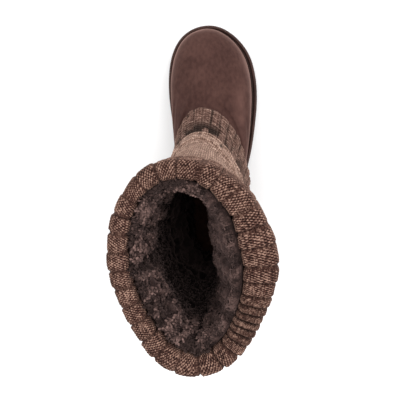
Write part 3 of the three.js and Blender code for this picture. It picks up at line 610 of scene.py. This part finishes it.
def knit_material(name, dark, middle, light, tint, knit_shade_color):
    """Marled wool: two plied yarns of different browns, in plain or, where marked, purl stitches, painted
    darker between the loops and beads and, where marked, with painted shade.
    """
    made, tree, shader = new_material(name, 1.0, specular=0.12, sheen=0.35, sheen_roughness=0.6, tint=tint)
    uv = add_node(tree, "ShaderNodeUVMap").outputs[0]
    split = add_node(tree, "ShaderNodeSeparateXYZ", Vector=uv)
    wale = split.outputs["X"]
    course = split.outputs["Y"]
    across = calc(tree, "ABSOLUTE", calc(tree, "SUBTRACT", calc(tree, "FRACT", wale), 0.5))
    slant = plus(tree, course, times(tree, across, 0.9))
    legs = calc(tree, "COSINE", times(tree, slant, 2 * math.pi))
    legs = calc(tree, "MULTIPLY_ADD", legs, 0.28, 0.5)
    crown = calc(tree, "COSINE", times(tree, across, math.pi))
    loops = times(tree, legs, calc(tree, "POWER", calc(tree, "MAXIMUM", crown, 0.0), 0.5))
    beads = mark_value(tree, "bead")
    purl = mark_value(tree, "purl")
    loops = plus(tree, loops, times(tree, purl, calc(tree, "SUBTRACT", beads, loops)))
    streaks = noise(tree, uv, 1.0, detail=3, stretch=(0.45, 1.3, 1))
    specks = noise(tree, uv, 1.0, detail=2, stretch=(2.3, 2.6, 1))
    cloud = noise(tree, uv, 0.09, detail=2)
    mix = plus(tree, times(tree, streaks, 0.5), times(tree, specks, 0.4))
    mix = plus(tree, mix, times(tree, cloud, 0.15))
    # Painted light and shade on the purl beads: lighter on their tops, darker between them.
    painted_bead_shade = calc(tree, "MULTIPLY_ADD", beads, 0.36, -0.19)
    mix = plus(tree, mix, times(tree, purl, painted_bead_shade))
    tone = ramp(tree, mix, [(0.40, linear(dark)), (0.53, linear(middle)), (0.66, linear(light))])
    # Painted shade in the gaps between the loops.
    painted_gap_shade = ramp(tree, loops, [(0.05, (0.3, 0.24, 0.22, 1)), (0.5, (1, 1, 1, 1))])
    tone = blend(tree, 1.0, tone, painted_gap_shade, "MULTIPLY")
    # Painted shade where marked: in grooves, holes and on hidden back faces.
    tone = blend(tree, mark_value(tree, "painted_shade"), tone, linear(knit_shade_color))
    fibre = noise(tree, uv, 7.0, detail=3, stretch=(1, 1.6, 1))
    height = plus(tree, loops, times(tree, fibre, 0.35))
    finish_material(tree, shader, tone, height, 0.8, 0.9)
    return made


band_columns = BAND_WALES * BAND_STITCH_POINTS
band_turns = turns(band_columns)[None, :]
band_turns = band_turns + BAND_SPREAD * np.sin(2 * band_turns)
band_share = np.linspace(0, 1, BAND_COURSES * BAND_STITCH_POINTS)[:, None]
band_rings = lerp(BAND_LOW, BAND_TOP, band_share)
band_wale = np.arange(band_columns)[None, :] / BAND_STITCH_POINTS
band_course = band_share * BAND_COURSES
rib_place = band_wale / 3 % 1
rib_gap = np.exp(-((np.minimum(rib_place, 1 - rib_place) / 0.15) ** 2))
lower_edge = np.sqrt(np.clip(1 - (1 - np.clip(band_share / 0.07, 0, 1)) ** 2, 0, 1))
upper_edge = lerp(0.75, 1, np.clip((1 - band_share) / 0.2, 0, 1))
band_out = BAND_REACH * lower_edge * upper_edge - BAND_RIB_RELIEF * rib_gap * lower_edge
band_out = band_out + YARN_RELIEF * plain_stitches(band_wale, band_course) * lower_edge
band_base = leg(band_rings, band_turns)
band_sway = 1.1 * value_noise(band_base, 15, 21) + 0.6 * value_noise(band_base, 6, 22)
tucked = np.clip((band_share - 0.55) / 0.15, 0, 1)
band_out = np.maximum(band_out + band_sway * lower_edge * (1 - tucked) - 0.6 * tucked, BAND_EASE + 0.2)
band_face = beside_leg(band_rings, band_turns, band_out)
back_rings = np.linspace(BAND_TOP, BAND_LOW, 8)[:, None]
band_back = beside_leg(back_rings, band_turns, BAND_EASE)
# Painted shade: dark patches on the band just under the hem, mostly at the front, and in the rib gaps; the
# band's hidden back is painted dark all over.
band_shade = np.clip(value_noise(band_face, 9, 23) * 4 + 0.5, 0, 1)
band_shade = band_shade * np.clip((band_share - 0.26) / 0.18, 0, 1)
band_shade = band_shade * np.clip(0.25 + np.cos(band_turns), 0.25, 1)
gap_shade = 0.9 * rib_gap * np.clip(0.6 + 1.2 * value_noise(band_face, 9, 24), 0, 1)
band_painted_shade = np.concatenate([np.maximum(gap_shade, band_shade), np.ones(band_back.shape[:2])])
band_rows = np.concatenate([band_course[:, 0], np.full(len(band_back), BAND_COURSES)])
band = grid_object(
    "ankle_rib_band", np.concatenate([band_face, band_back]), BAND_WALES, band_rows, loop=True,
    marks={"painted_shade": band_painted_shade},
)
band_knit = knit_material("band_wool", "2f1e19", "6f534a", "b89a8b", "b59a8c", "120907")
place_piece(band, band_knit, "ankle_band")

# Shaft: the leg of the boot, plain knit in a lighter marled wool. Its foot ends in
# a rolled, rope-like hem that stands over the band, with small holes above it that are painted dark.
SHAFT_WALES = 132
SHAFT_COURSES = 70
SHAFT_WALE_POINTS = 3
SHAFT_ROWS = 202
SHAFT_FOOT = 118.6
SHAFT_TOP = 282.7
SHAFT_BACK_FOOT = 112.3
HEM_LOW = 9.28
HEM_TOP = 118.0
KNIT_HALF = 2.0
HEM_REACH = 7.2
HEM_TWISTS = 62
HEM_COURSES = 6
HEM_ROWS = 32
HEM_HOLES = 24
HEM_BACK_RINGS = np.array([[9.8], [HEM_LOW + 0.1]])
HEM_BACK_REACH = 6.4

height_rings = np.linspace(ANKLE_RING, COLLAR_RING, 1201)
height_levels = leg(height_rings, np.zeros(1))[:, 2]


def ring_at(height):
    return np.interp(height, height_levels, height_rings)


def shaft_side(height, turn, out):
    """Point beside the shaft at a height, moved out level."""
    height, turn, out = np.broadcast_arrays(height, turn, out)
    ring = ring_at(height)
    level = leg_normal(ring, turn) * [1, 1, 0]
    point = leg(ring, turn) + unit(level) * out[..., None]
    point[..., 2] = height
    return point


shaft_columns = SHAFT_WALES * SHAFT_WALE_POINTS
shaft_turns = turns(shaft_columns)[None, :]
shaft_wale = np.arange(shaft_columns)[None, :] / SHAFT_WALE_POINTS
hem_share = np.linspace(0, 1, HEM_ROWS)[:, None]
hem_rings = lerp(HEM_LOW, ring_at(HEM_TOP), hem_share)
rope = np.clip(1 - ((hem_share - 0.1) / 0.14) ** 2, 0, 1)
twist = 0.5 + 0.5 * np.cos(HEM_TWISTS * shaft_turns + 7 * hem_share)
hole = np.clip(np.cos(HEM_HOLES * shaft_turns), 0, 1) ** 2 * np.exp(-(((hem_share - 0.34) / 0.15) ** 2))
hole_number = np.round(HEM_HOLES * shaft_turns / (2 * math.pi)).astype(int) % HEM_HOLES
hole = hole * np.random.default_rng(33).uniform(0, 1, HEM_HOLES)[hole_number] ** 1.5
slope = lerp(HEM_REACH, KNIT_HALF + 1.2, np.clip((hem_share - 0.6) / 0.4, 0, 1))
hem_wave = 0.5 * value_noise(leg(hem_rings, shaft_turns), 9, 34)
hem_out = slope + (0.8 + 0.4 * twist + hem_wave) * rope - 0.9 * hole + 0.5 * hem_wave
hem_face = beside_leg(hem_rings, shaft_turns, hem_out)
body_course = np.linspace(0, SHAFT_COURSES, SHAFT_ROWS)[:, None]
body_height = lerp(SHAFT_FOOT, SHAFT_TOP, body_course / SHAFT_COURSES)
body_base = shaft_side(body_height, shaft_turns, KNIT_HALF)
settle = np.clip((body_height - HEM_TOP) / 8, 0, 1)
slouch = 1.1 * value_noise(body_base, 34, 31) + 0.5 * value_noise(body_base, 13, 32)
body_out = KNIT_HALF - 0.5 + 1.1 * (1 - settle) + YARN_RELIEF * plain_stitches(shaft_wale, body_course)
body_out = body_out + slouch * settle * np.clip((SHAFT_TOP - body_height) / 10, 0, 1)
body_face = shaft_side(body_height, shaft_turns, body_out)
back_heights = np.linspace(SHAFT_TOP, SHAFT_BACK_FOOT, 6)[:, None]
shaft_back = shaft_side(back_heights, shaft_turns, -KNIT_HALF)
hem_back = beside_leg(HEM_BACK_RINGS, shaft_turns, HEM_BACK_REACH)
shaft_back = np.concatenate([shaft_back, hem_back])
# Painted shade in the holes above the hem and on the shaft's hidden back.
shaft_painted_shade = np.concatenate([
    np.clip(1.3 * hole, 0, 1),
    np.zeros(body_face.shape[:2]),
    np.ones(shaft_back.shape[:2]),
])
shaft_rows = np.concatenate([
    HEM_COURSES * (hem_share[:, 0] - 1),
    body_course[:, 0],
    np.full(len(shaft_back), SHAFT_COURSES),
])
shaft = grid_object(
    "knit_shaft_plain", np.concatenate([hem_face, body_face, shaft_back]), SHAFT_WALES, shaft_rows,
    loop=True, marks={"painted_shade": shaft_painted_shade},
)
shaft_knit = knit_material("shaft_wool", "452f27", "8f7264", "d6b8a7", "c6aa9b", "160d0a")
place_piece(shaft, shaft_knit, "knit_shaft")

# Cuff: the collar of the shaft, knitted in wide flat ribs of the darker marled
# wool, folded out over itself and hanging down all round. It slouches outwards on
# the outer side, where the ribs crowd together.
CUFF_ROLL = 28.0
CUFF_DEPTH = 60.0
CUFF_LEG = 17.0
CUFF_FOLD = 8.4
CUFF_WALL = 4.6
CUFF_RIBS = 32
CUFF_RIB_RELIEF = 1.8
WALES_PER_RIB = 7
CUFF_COURSES = 42
CUFF_WALE_POINTS = 3
CUFF_ROWS = 126
CUFF_FLARE = [0.54, 0.52, 0.55, 0.66, 0.57, 0.67, 0.725, 0.68, 0.72, 0.98, 0.87, 0.68]
# down is a share of the depth, out a share of the fold's width, wall in walls.
CUFF_FACE = [
    (0.03, 0.06, 0.0), (0.0, 0.42, 0.0), (0.03, 0.82, 0.0), (0.14, 0.99, 0.0),
    (0.5, 0.95, 0.0), (0.94, 0.82, 0.0), (1.0, 0.8, -0.6),
]
CUFF_BACK = [(0.95, 0.8, -1.0), (0.5, 0.95, -1.1), (0.15, 0.93, -1.2)]
CROWD_AT = 235.0
CROWD_WIDTH = 20.0
CROWD_DENSITY = 1.6


def round_spline(values, turn):
    """Smooth curve through values that go evenly round the leg."""
    position = turn / (2 * math.pi) * len(values) % len(values)
    return spline(values[-1:] + values + values[:2], position + 1)


cuff_wales = CUFF_RIBS * WALES_PER_RIB
cuff_columns = cuff_wales * CUFF_WALE_POINTS
cuff_wale = np.arange(cuff_columns)[None, :] / CUFF_WALE_POINTS
steps = np.linspace(0, 2 * math.pi, 1441)
stride = np.linalg.norm(np.diff(leg(COLLAR_RING, steps), axis=0), axis=-1)
crowding = np.exp(-(((np.degrees(steps[1:] + steps[:-1]) / 2 - CROWD_AT) / CROWD_WIDTH) ** 2))
rib_sums = np.concatenate([[0], np.cumsum(stride * (1 + CROWD_DENSITY * crowding))])
cuff_turns = np.interp(np.arange(cuff_columns) / cuff_columns * rib_sums[-1], rib_sums, steps)[None, :]
width = CUFF_ROLL * round_spline(CUFF_FLARE, cuff_turns)
face_out = [np.full_like(width, -KNIT_HALF)]
face_out += [width * out + CUFF_WALL * wall - KNIT_HALF for _, out, wall in CUFF_FACE]
face_down = [CUFF_LEG / CUFF_DEPTH] + [down for down, _, _ in CUFF_FACE]
dense = np.linspace(0, len(face_down) - 1, 1400)
mean_out = spline([np.mean(row) for row in face_out], dense)
mean_up = BOOT_HEIGHT - CUFF_DEPTH * spline(face_down, dense)
arc = np.concatenate([[0], np.cumsum(np.hypot(np.diff(mean_out), np.diff(mean_up)))])
spots = np.interp(np.linspace(5, arc[-1], CUFF_ROWS), arc, dense)
cuff_course = np.linspace(0, CUFF_COURSES, CUFF_ROWS)[:, None]


def through_rows(rows, spots):
    """Smooth curve through whole rows of the section."""
    rows = np.array(rows)
    made = np.empty((len(spots), rows.shape[1]))
    for number, spot in enumerate(spots):
        index = int(np.clip(math.floor(spot), 0, len(rows) - 2))
        t = spot - index
        b = rows[index]
        c = rows[index + 1]
        a = rows[index - 1] if index > 0 else 2 * b - c
        d = rows[index + 2] if index + 2 < len(rows) else 2 * c - b
        made[number] = bend_between(a, b, c, d, t)
    return made


out = through_rows([row.ravel() for row in face_out], spots)
up = np.broadcast_to(BOOT_HEIGHT - CUFF_DEPTH * spline(face_down, spots)[:, None], out.shape)
along_out = np.gradient(out, axis=0)
along_up = np.gradient(up, axis=0)
run = np.hypot(along_out, along_up)
push_out = -along_up / run
push_up = along_out / run
rib_number = np.floor(cuff_wale / WALES_PER_RIB).astype(int) % CUFF_RIBS
rib_place = cuff_wale / WALES_PER_RIB % 1
chooser = np.random.default_rng(41)
rib_depth = chooser.uniform(0.15, 1.2, CUFF_RIBS)[rib_number]
rib_width = chooser.uniform(0.7, 0.86, CUFF_RIBS)[rib_number]
rib_lift = chooser.uniform(-0.4, 0.4, CUFF_RIBS)[rib_number]
tightness = np.exp(-(((np.degrees(cuff_turns) - CROWD_AT) / CROWD_WIDTH) ** 2))
rib_depth = lerp(rib_depth, 2.1, tightness)
rib_gap = np.exp(-((np.minimum(rib_place, 1 - rib_place) / lerp(0.06, 0.17, tightness)) ** 2))
rise_edge = np.clip(rib_place / 0.1, 0, 1)
fall_edge = np.clip((rib_width + 0.1 - rib_place) / 0.1, 0, 1)
raised = smooth_step(np.minimum(rise_edge, fall_edge))
edge = np.clip(np.minimum(cuff_course, CUFF_COURSES - cuff_course) / 2.5, 0, 1)
flat = shaft_side(np.minimum(up, BOOT_HEIGHT), cuff_turns, out)
bead_wale = cuff_wale + 0.3 * value_noise(flat, 9, 44)
bead_course = cuff_course + 0.7 * value_noise(flat, 9, 45)
bead = 0.5 + 0.5 * np.cos(2 * math.pi * bead_wale) * np.cos(math.pi * bead_course)
bead = np.clip(bead + 0.12 * value_noise(flat, 2.5, 46), 0, 1)
lift = (raised - 0.6) * (1.1 + rib_lift) * rib_depth + 0.5 * (0.5 - rib_place) * raised
lift = lift - CUFF_RIB_RELIEF * 0.6 * rib_depth * rib_gap * edge
lift = lift + YARN_RELIEF * lerp(0.7 * plain_stitches(cuff_wale, cuff_course), 0.9 * bead, raised) * edge
lift = lift + (0.9 * value_noise(flat, 21, 42) + 0.5 * value_noise(flat, 8, 43)) * edge
out = out + push_out * lift
up = up + push_up * lift
cuff_face = shaft_side(np.minimum(up, BOOT_HEIGHT), cuff_turns, out)
cuff_face[..., 2] = up
back_spots = [
    (CUFF_DEPTH * down, width * wide + CUFF_WALL * wall - KNIT_HALF) for down, wide, wall in CUFF_BACK
]
back_spots += [(CUFF_FOLD, KNIT_HALF), (CUFF_LEG, KNIT_HALF), (CUFF_LEG, -KNIT_HALF)]
cuff_back = [shaft_side(np.array([[BOOT_HEIGHT - down]]), cuff_turns, reach) for down, reach in back_spots]
cuff_back = np.concatenate(cuff_back)
back_shape = cuff_back.shape[:2]
# Painted shade in the rib gaps, deeper where the ribs crowd, and on the cuff's hidden back.
rib_shade = np.clip(lerp(0.4, 0.55, tightness) * rib_depth * rib_gap, 0, 1)
cuff_painted_shade = np.concatenate([np.broadcast_to(rib_shade, out.shape), np.ones(back_shape)])
cuff_purl = np.concatenate([np.broadcast_to(raised, out.shape), np.zeros(back_shape)])
cuff_bead = np.concatenate([bead, np.zeros(back_shape)])
cuff_rows = np.concatenate([cuff_course[:, 0], np.full(len(cuff_back), CUFF_COURSES)])
cuff = grid_object(
    "cuff_rib_knit", np.concatenate([cuff_face, cuff_back])[::-1], cuff_wales, cuff_rows[::-1], loop=True,
    marks={"painted_shade": cuff_painted_shade[::-1], "purl": cuff_purl[::-1], "bead": cuff_bead[::-1]},
)
cuff_knit = knit_material("cuff_wool", "170c09", "492f28", "a08070", "7f6359", "0c0504")
place_piece(cuff, cuff_knit, "knit_cuff")

# Fleece: a sock of deep curly pile sewn in at the collar and reaching down to the
# footbed. It is a lumpy backing with thousands of short bent curls on it.
LINING_EASE = 2.6
LINING_TOP = 295.0
WALL_LOW = 113.0
PILE = 8.0
LINING_SAG = 20.0
LINING_ROLL = 12.0
SAG_AROUND = [0.05, 0.4, 0.5, 0.25, 0, 0, 0, 0.1, 0.55, 1, 0.85, 0.25]
ROLL_AROUND = [0, 0, 0, 0.15, 1, 0.9, 0.35, 0.1, 0, 0, 0, 0]
HANG_PLACES = [0, 0.06, 0.14, 0.26, 0.42, 0.6, 0.8, 1]
SAG_DOWN = [0, 0.38, 0.68, 0.92, 1, 0.72, 0.2, 0]
ROLL_DOWN = [0.5, 1, 1, 0.6, 0.1, 0, 0, 0]
# Folds of the fleece: degrees round the leg at the collar and lower down, the
# height where they end, half width in degrees and depth.
FLEECE_FOLDS = [
    (92, 95, 240, 3.4, 10.0),
    (184, 188, 225, 4.0, 9.0),
    (279, 270, 225, 4.0, 2.6),
    (257, 238, 230, 4.5, 2.8),
    (236, 220, 240, 4.5, 2.6),
    (34, 54, 225, 4.5, 4.0),
    (64, 72, 215, 4.0, 3.5),
    (120, 128, 262, 3.4, 3.5),
    (150, 143, 258, 3.4, 3.5),
    (310, 300, 230, 4.5, 2.0),
]
# Distance in from the leg's surface to the pile's face, in the shaft and in the foot.
FACE_IN = LINING_EASE + PILE - 2.0
FOOT_FACE_IN = LINING_EASE + PILE - 2.4
CLUMP_RELIEF = 3.8
RIM_DROP = 4.0
RIM_ROWS = 14
LINING_COLUMNS = 300
CURL_COUNT = 7200
CURLS_ON_RIM = 0.22
CURL_LOW = 150.0
CURL_LENGTH = 3.8
CURL_RADIUS = 1.0
CURL_BEND = 0.75 * math.pi
CURL_SIDES = 4
# Heights between which painted shade darkens the pile: on the loose side, on the roll at
# the inner back, and elsewhere.
LOOSE_DARK = (252.0, 165.0)
ROLL_DARK = (291.0, 258.0)
OTHER_DARK = (282.0, 204.0)
lining_turns = turns(LINING_COLUMNS)[None, :]
rim_base = LINING_TOP - RIM_DROP


def hang(height, turn, around, down):
    share = np.clip((LINING_TOP - height) / (LINING_TOP - ANKLE_HEIGHT), 0, 1)
    place = np.interp(share, HANG_PLACES, np.arange(len(HANG_PLACES)))
    return spline(down, place) * round_spline(around, turn)


def fleece_back(height, turn, out):
    """Point above the ankle by its distance in from the leg's surface, with the sag."""
    return shaft_side(height, turn, -out - LINING_SAG * hang(height, turn, SAG_AROUND, SAG_DOWN))


def fold_depth(height, turn):
    """How deep the folds of the pile are at a place."""
    total = 0
    for high, low, end, half, depth in FLEECE_FOLDS:
        share = np.clip((LINING_TOP - height) / (LINING_TOP - end), 0, 1.3)
        apart = np.degrees(turn) - lerp(high, low, share) - 1.5 * np.sin(height / 7 + high)
        total = total + depth * np.exp(-((apart / half) ** 2)) * np.clip(4 - 3 * share, 0, 1)
    return total


def pile_out(height, turn):
    """How far the face of the pile stands in from the leg's surface, but for the sag."""
    roll = LINING_ROLL * hang(height, turn, ROLL_AROUND, ROLL_DOWN)
    roll = roll * np.clip((np.degrees(turn) - 92) / 7, 0, 1)
    return FACE_IN + roll - fold_depth(height, turn)


def rim_point(share, turn):
    """Point of the pile's rounded top, from its back (0) to its face (1)."""
    sag = LINING_SAG * hang(rim_base, turn, SAG_AROUND, SAG_DOWN)
    point = shaft_side(rim_base, turn, -lerp(LINING_EASE, pile_out(rim_base, turn) + sag, share))
    crown = 1.5 * np.sin(math.pi * share) - 7 * (1 - share) ** 3
    point[..., 2] = LINING_TOP + crown - RIM_DROP * share**3
    return point


def loose_side(turn):
    """1 on the outer side, where the pile is smooth and hangs loose, and 0 elsewhere."""
    degrees = np.degrees(turn)
    return np.clip((degrees - 195) / 20, 0, 1) * np.clip((345 - degrees) / 20, 0, 1)


def shadow(height, turn):
    """How much painted shade the pile gets, from 0 in the light at the rim to 1 deep in the boot."""
    loose = loose_side(turn)
    rolled = np.clip(round_spline(ROLL_AROUND, turn), 0, 1)
    start, end = (
        lerp(lerp(other, roll, rolled), slack, loose)
        for other, roll, slack in zip(OTHER_DARK, ROLL_DARK, LOOSE_DARK)
    )
    return smooth_step(np.clip((start - height) / (start - end), 0, 1))


def clumps(points):
    """Height of the pile's winding clumps, from about -1 in the furrows to 1."""
    warped = points + 2.5 * value_noise(points, 11, 50)[..., None]
    winding = 1 - 3.6 * np.abs(value_noise(warped, 8, 51))
    return 0.85 * np.clip(winding, -1, 1) + 0.3 * value_noise(points, 4, 52)


def into_boot(height, turn):
    """Level direction from the shaft's wall towards the inside."""
    return -unit(leg_normal(ring_at(height), turn) * [1, 1, 0])


def over_rim(inward, share):
    """Direction that the pile faces on its rounded top, from up (0) to inward (1)."""
    quarter = (share * math.pi / 2)[..., None]
    return inward * np.sin(quarter) + np.cos(quarter) * [0, 0, 1]


def furrow_depth(clump_height, height, turn):
    """How much painted shade the pile gets between clumps and in folds, from 0 to 1."""
    return np.clip(np.maximum(0.4 - 1.2 * clump_height, 0.25 * fold_depth(height, turn)), 0, 1)


rim_shares = np.linspace(0, 1, RIM_ROWS)[:-1, None]
wall_heights = np.linspace(rim_base, WALL_LOW, 84)[:, None]
foot_rings = np.linspace(9.9, 1.6, 30)[:, None]
end_ring = np.array([[1.0]])
face_rim = rim_point(*np.broadcast_arrays(rim_shares, lining_turns))
face_high = fleece_back(wall_heights, lining_turns, pile_out(wall_heights, lining_turns))
face_low = beside_leg(foot_rings, lining_turns, -FOOT_FACE_IN, EVEN_RISE)
face_end = beside_leg(end_ring, lining_turns, -(LINING_EASE + PILE))
face_end[..., 2] = floor_height(face_low[-1:, :, 1]) + GAP + PAD_THICKNESS + GAP
face = np.concatenate([face_rim, face_high, face_low, face_end])
inward = np.concatenate([
    over_rim(into_boot(rim_base, lining_turns), rim_shares),
    into_boot(wall_heights, lining_turns),
    -leg_normal(foot_rings, lining_turns, EVEN_RISE),
    -leg_normal(end_ring, lining_turns),
])
clump_height = clumps(face) * lerp(1, 0.5, loose_side(lining_turns))
clump_height[0] = 0
face = face + inward * (CLUMP_RELIEF * clump_height)[..., None]
outer_rings = np.linspace(1.0, 10, 46)[:, None]
outer_low = beside_leg(outer_rings, lining_turns, -LINING_EASE, EVEN_RISE)
outer_low[0, :, 2] = floor_height(outer_low[0, :, 1]) + GAP + PAD_THICKNESS + GAP
outer_high = fleece_back(np.linspace(125, LINING_TOP - 8, 8)[:, None], lining_turns, LINING_EASE)
lining_grid = np.concatenate([face, outer_low, outer_high])[::-1]
# Painted shade on the backing: deep in the boot, and in the furrows between clumps and in folds.
furrow = np.zeros(lining_grid.shape[:2])
furrow[::-1][:len(face)] = furrow_depth(clump_height, face[..., 2], lining_turns)
lining = grid_object(
    "fleece_backing", lining_grid, loop=True,
    marks={"deep": shadow(lining_grid[..., 2], lining_turns), "furrow": furrow},
)

chooser = np.random.default_rng(61)
spot_turns = chooser.uniform(0, 2 * math.pi, CURL_COUNT)
spot_heights = LINING_TOP - 1 - (LINING_TOP - CURL_LOW) * chooser.uniform(0, 1, CURL_COUNT) ** 1.3
on_rim = chooser.uniform(0, 1, CURL_COUNT) < CURLS_ON_RIM
rim_place = chooser.uniform(0.25, 1, CURL_COUNT)
root = fleece_back(spot_heights, spot_turns, pile_out(spot_heights, spot_turns) - 0.8)
root[on_rim] = rim_point(rim_place, spot_turns)[on_rim]
facing = into_boot(spot_heights, spot_turns)
facing[on_rim] = over_rim(facing, rim_place)[on_rim]
plush = loose_side(spot_turns)
spot_clumps = clumps(root) * lerp(1, 0.5, plush)
root = root + facing * (CLUMP_RELIEF * spot_clumps)[:, None]
spot_furrows = furrow_depth(spot_clumps, root[:, 2], spot_turns)
# Painted shade in furrows and folds, plus a random darker tone on some curls.
spot_furrows = np.minimum(spot_furrows + chooser.uniform(0, 0.7, CURL_COUNT) ** 2, 1)
side_a = unit(np.cross(facing, [0.0, 0.0, 1.0]))
side_b = np.cross(facing, side_a)
any_way = chooser.uniform(0, 2 * math.pi, CURL_COUNT)
swept = chooser.normal(math.pi / 2, 0.5, CURL_COUNT)
swirl = lerp(any_way, swept, plush)
sway = side_a * np.cos(swirl)[:, None] + side_b * np.sin(swirl)[:, None]
length = CURL_LENGTH * chooser.uniform(0.7, 1.25, CURL_COUNT) * lerp(1, 1.5, plush)
thickness = CURL_RADIUS * chooser.uniform(0.75, 1.3, CURL_COUNT) * lerp(1, 0.55, plush)
stations = np.array([0.0, 0.35, 0.7, 1.0])
curl_points = []
for share in stations:
    bend = share * CURL_BEND
    stand = (0.55 - 0.2 * plush)[:, None]
    centre = root + length[:, None] * (facing * math.sin(bend) * stand + sway * (1 - math.cos(bend)) * 0.6)
    heading = unit(facing * math.cos(bend) + sway * math.sin(bend))
    wide = unit(np.cross(heading, sway + facing * 0.3))
    high = np.cross(heading, wide)
    radius = thickness * (1.15 - 0.45 * share**2)
    for corner in range(CURL_SIDES):
        angle = 2 * math.pi / CURL_SIDES * corner
        curl_points.append(centre + radius[:, None] * (wide * math.cos(angle) + high * math.sin(angle)))
curl_size = len(curl_points)
curl_points = np.stack(curl_points, axis=1)
pattern = []
for first in range(0, curl_size - CURL_SIDES, CURL_SIDES):
    for corner in range(CURL_SIDES):
        near = first + corner
        after = first + (corner + 1) % CURL_SIDES
        pattern.append([near, after, after + CURL_SIDES, near + CURL_SIDES])
pattern.append(list(range(curl_size - CURL_SIDES, curl_size)))
curl_faces = np.array(pattern) + curl_size * np.arange(CURL_COUNT)[:, None, None]
curl_mesh = bpy.data.meshes.new("fleece_curls")
curl_mesh.from_pydata((curl_points.reshape(-1, 3) * MM).tolist(), [], curl_faces.reshape(-1, 4).tolist())
# Marks for the curls' painted shade: along each curl, deep in the boot, and in furrows with random tone.
finish_mesh(curl_mesh, {
    "tip": np.tile(np.repeat(stations, CURL_SIDES), CURL_COUNT),
    "deep": np.repeat(shadow(root[:, 2], spot_turns), curl_size),
    "furrow": np.repeat(spot_furrows, curl_size),
})
curls = add_object("fleece_curls", curl_mesh)


def fleece_material(name, root_color, tip_color, pile_shade_color):
    """Curly pile with painted shade: darker at the curls' roots, in thin winding lines between them, in
    furrows and folds and deep in the boot; some curls darker at random.
    """
    made, tree, shader = new_material(
        name, 1.0, specular=0.08, sheen=0.5, sheen_roughness=0.6, tint="8d7672"
    )
    place = object_coordinates(tree)
    # Painted shade: the curls darken from tip to root.
    tip = times(tree, mark_value(tree, "tip"), 0.4)
    cloud = times(tree, noise(tree, place, 150, detail=4), 0.75)
    shade = plus(tree, tip, cloud)
    tone = ramp(tree, shade, [(0.28, linear(root_color)), (0.95, linear(tip_color))])
    # Painted shade in thin winding lines between the curls.
    winding = calc(tree, "ABSOLUTE", calc(tree, "SUBTRACT", noise(tree, place, 210, detail=1.5), 0.5))
    thin = calc(tree, "MAXIMUM", calc(tree, "MULTIPLY_ADD", winding, -16.0, 1.0), 0.0)
    tone = blend(tree, times(tree, thin, 0.75), tone, linear(pile_shade_color))
    # Painted shade in the furrows and folds, and deep in the boot.
    furrow = times(tree, mark_value(tree, "furrow"), 0.85)
    tone = blend(tree, furrow, tone, linear(pile_shade_color))
    tone = blend(tree, calc(tree, "POWER", mark_value(tree, "deep"), 0.95), tone, linear(pile_shade_color))
    finish_material(tree, shader, tone, noise(tree, place, 1100, detail=3), 0.6, 0.6)
    return made


fleece = fleece_material("fleece_taupe", "2b1e1c", "8f736c", "050303")
place_piece(lining, fleece, "fleece_lining")
place_piece(curls, fleece, "fleece_lining")

# Floor, light and camera: a plain white floor, wide soft light from above and a
# camera that looks down past the toe into the boot.
FLOOR_HALF = 6.0
FLOOR_LEVEL = -0.0005
corners = [(x * FLOOR_HALF, y * FLOOR_HALF, FLOOR_LEVEL) for x, y in ((-1, -1), (1, -1), (1, 1), (-1, 1))]
floor_mesh = bpy.data.meshes.new("floor")
floor_mesh.from_pydata(corners, [], [(0, 1, 2, 3)])
floor = add_object("floor", floor_mesh)
paper, tree, shader = new_material("paper_white", 0.9, specular=0.0)
place = object_coordinates(tree)
tone = ramp(tree, noise(tree, place, 3), [(0.2, (0.93, 0.93, 0.93, 1)), (0.8, (0.96, 0.96, 0.96, 1))])
tree.links.new(tone, shader.inputs["Base Color"])
floor_mesh.materials.append(paper)

world = bpy.data.worlds.new("studio")
bpy.context.scene.world = world
world.use_nodes = True
backdrop = world.node_tree.nodes["Background"]
backdrop.inputs["Color"].default_value = (1, 1, 1, 1)
backdrop.inputs["Strength"].default_value = 1.0


def soft_light(name, place, aim, size, power):
    """Square area light at a place in metres, turned to the point that it aims at."""
    light = bpy.data.lights.new(name, "AREA")
    light.shape = "SQUARE"
    light.size = size
    light.energy = power
    lamp = add_object(name, light)
    lamp.location = place
    lamp.rotation_euler = (Vector(aim) - Vector(place)).to_track_quat("-Z", "Y").to_euler()


soft_light("key_light", (-1.2, -0.8, 2.2), (0, 0, 0.1), 1.8, 32)
soft_light("top_light", (0.5, -0.4, 2.4), (0, 0, 0.1), 2.4, 20)

FOCAL_PIXELS = 718.1
PHOTO_PIXELS = 400
SENSOR = 36.0
eye = Vector((-80, -160, 860)) * MM
target = Vector((18, -37, 0)) * MM
forward = (target - eye).normalized()
right = forward.cross(Vector((0, -1, 0))).normalized()
upright = right.cross(forward)
view = Matrix((right, upright, -forward)).transposed().to_4x4()
view.translation = eye
camera_data = bpy.data.cameras.new("camera")
camera_data.sensor_width = SENSOR
camera_data.lens = FOCAL_PIXELS / PHOTO_PIXELS * SENSOR
camera = add_object("camera", camera_data)
camera.matrix_world = view
bpy.context.scene.camera = camera
bpy.context.scene.view_settings.view_transform = "Standard"
bpy.context.scene.view_settings.look = "None"
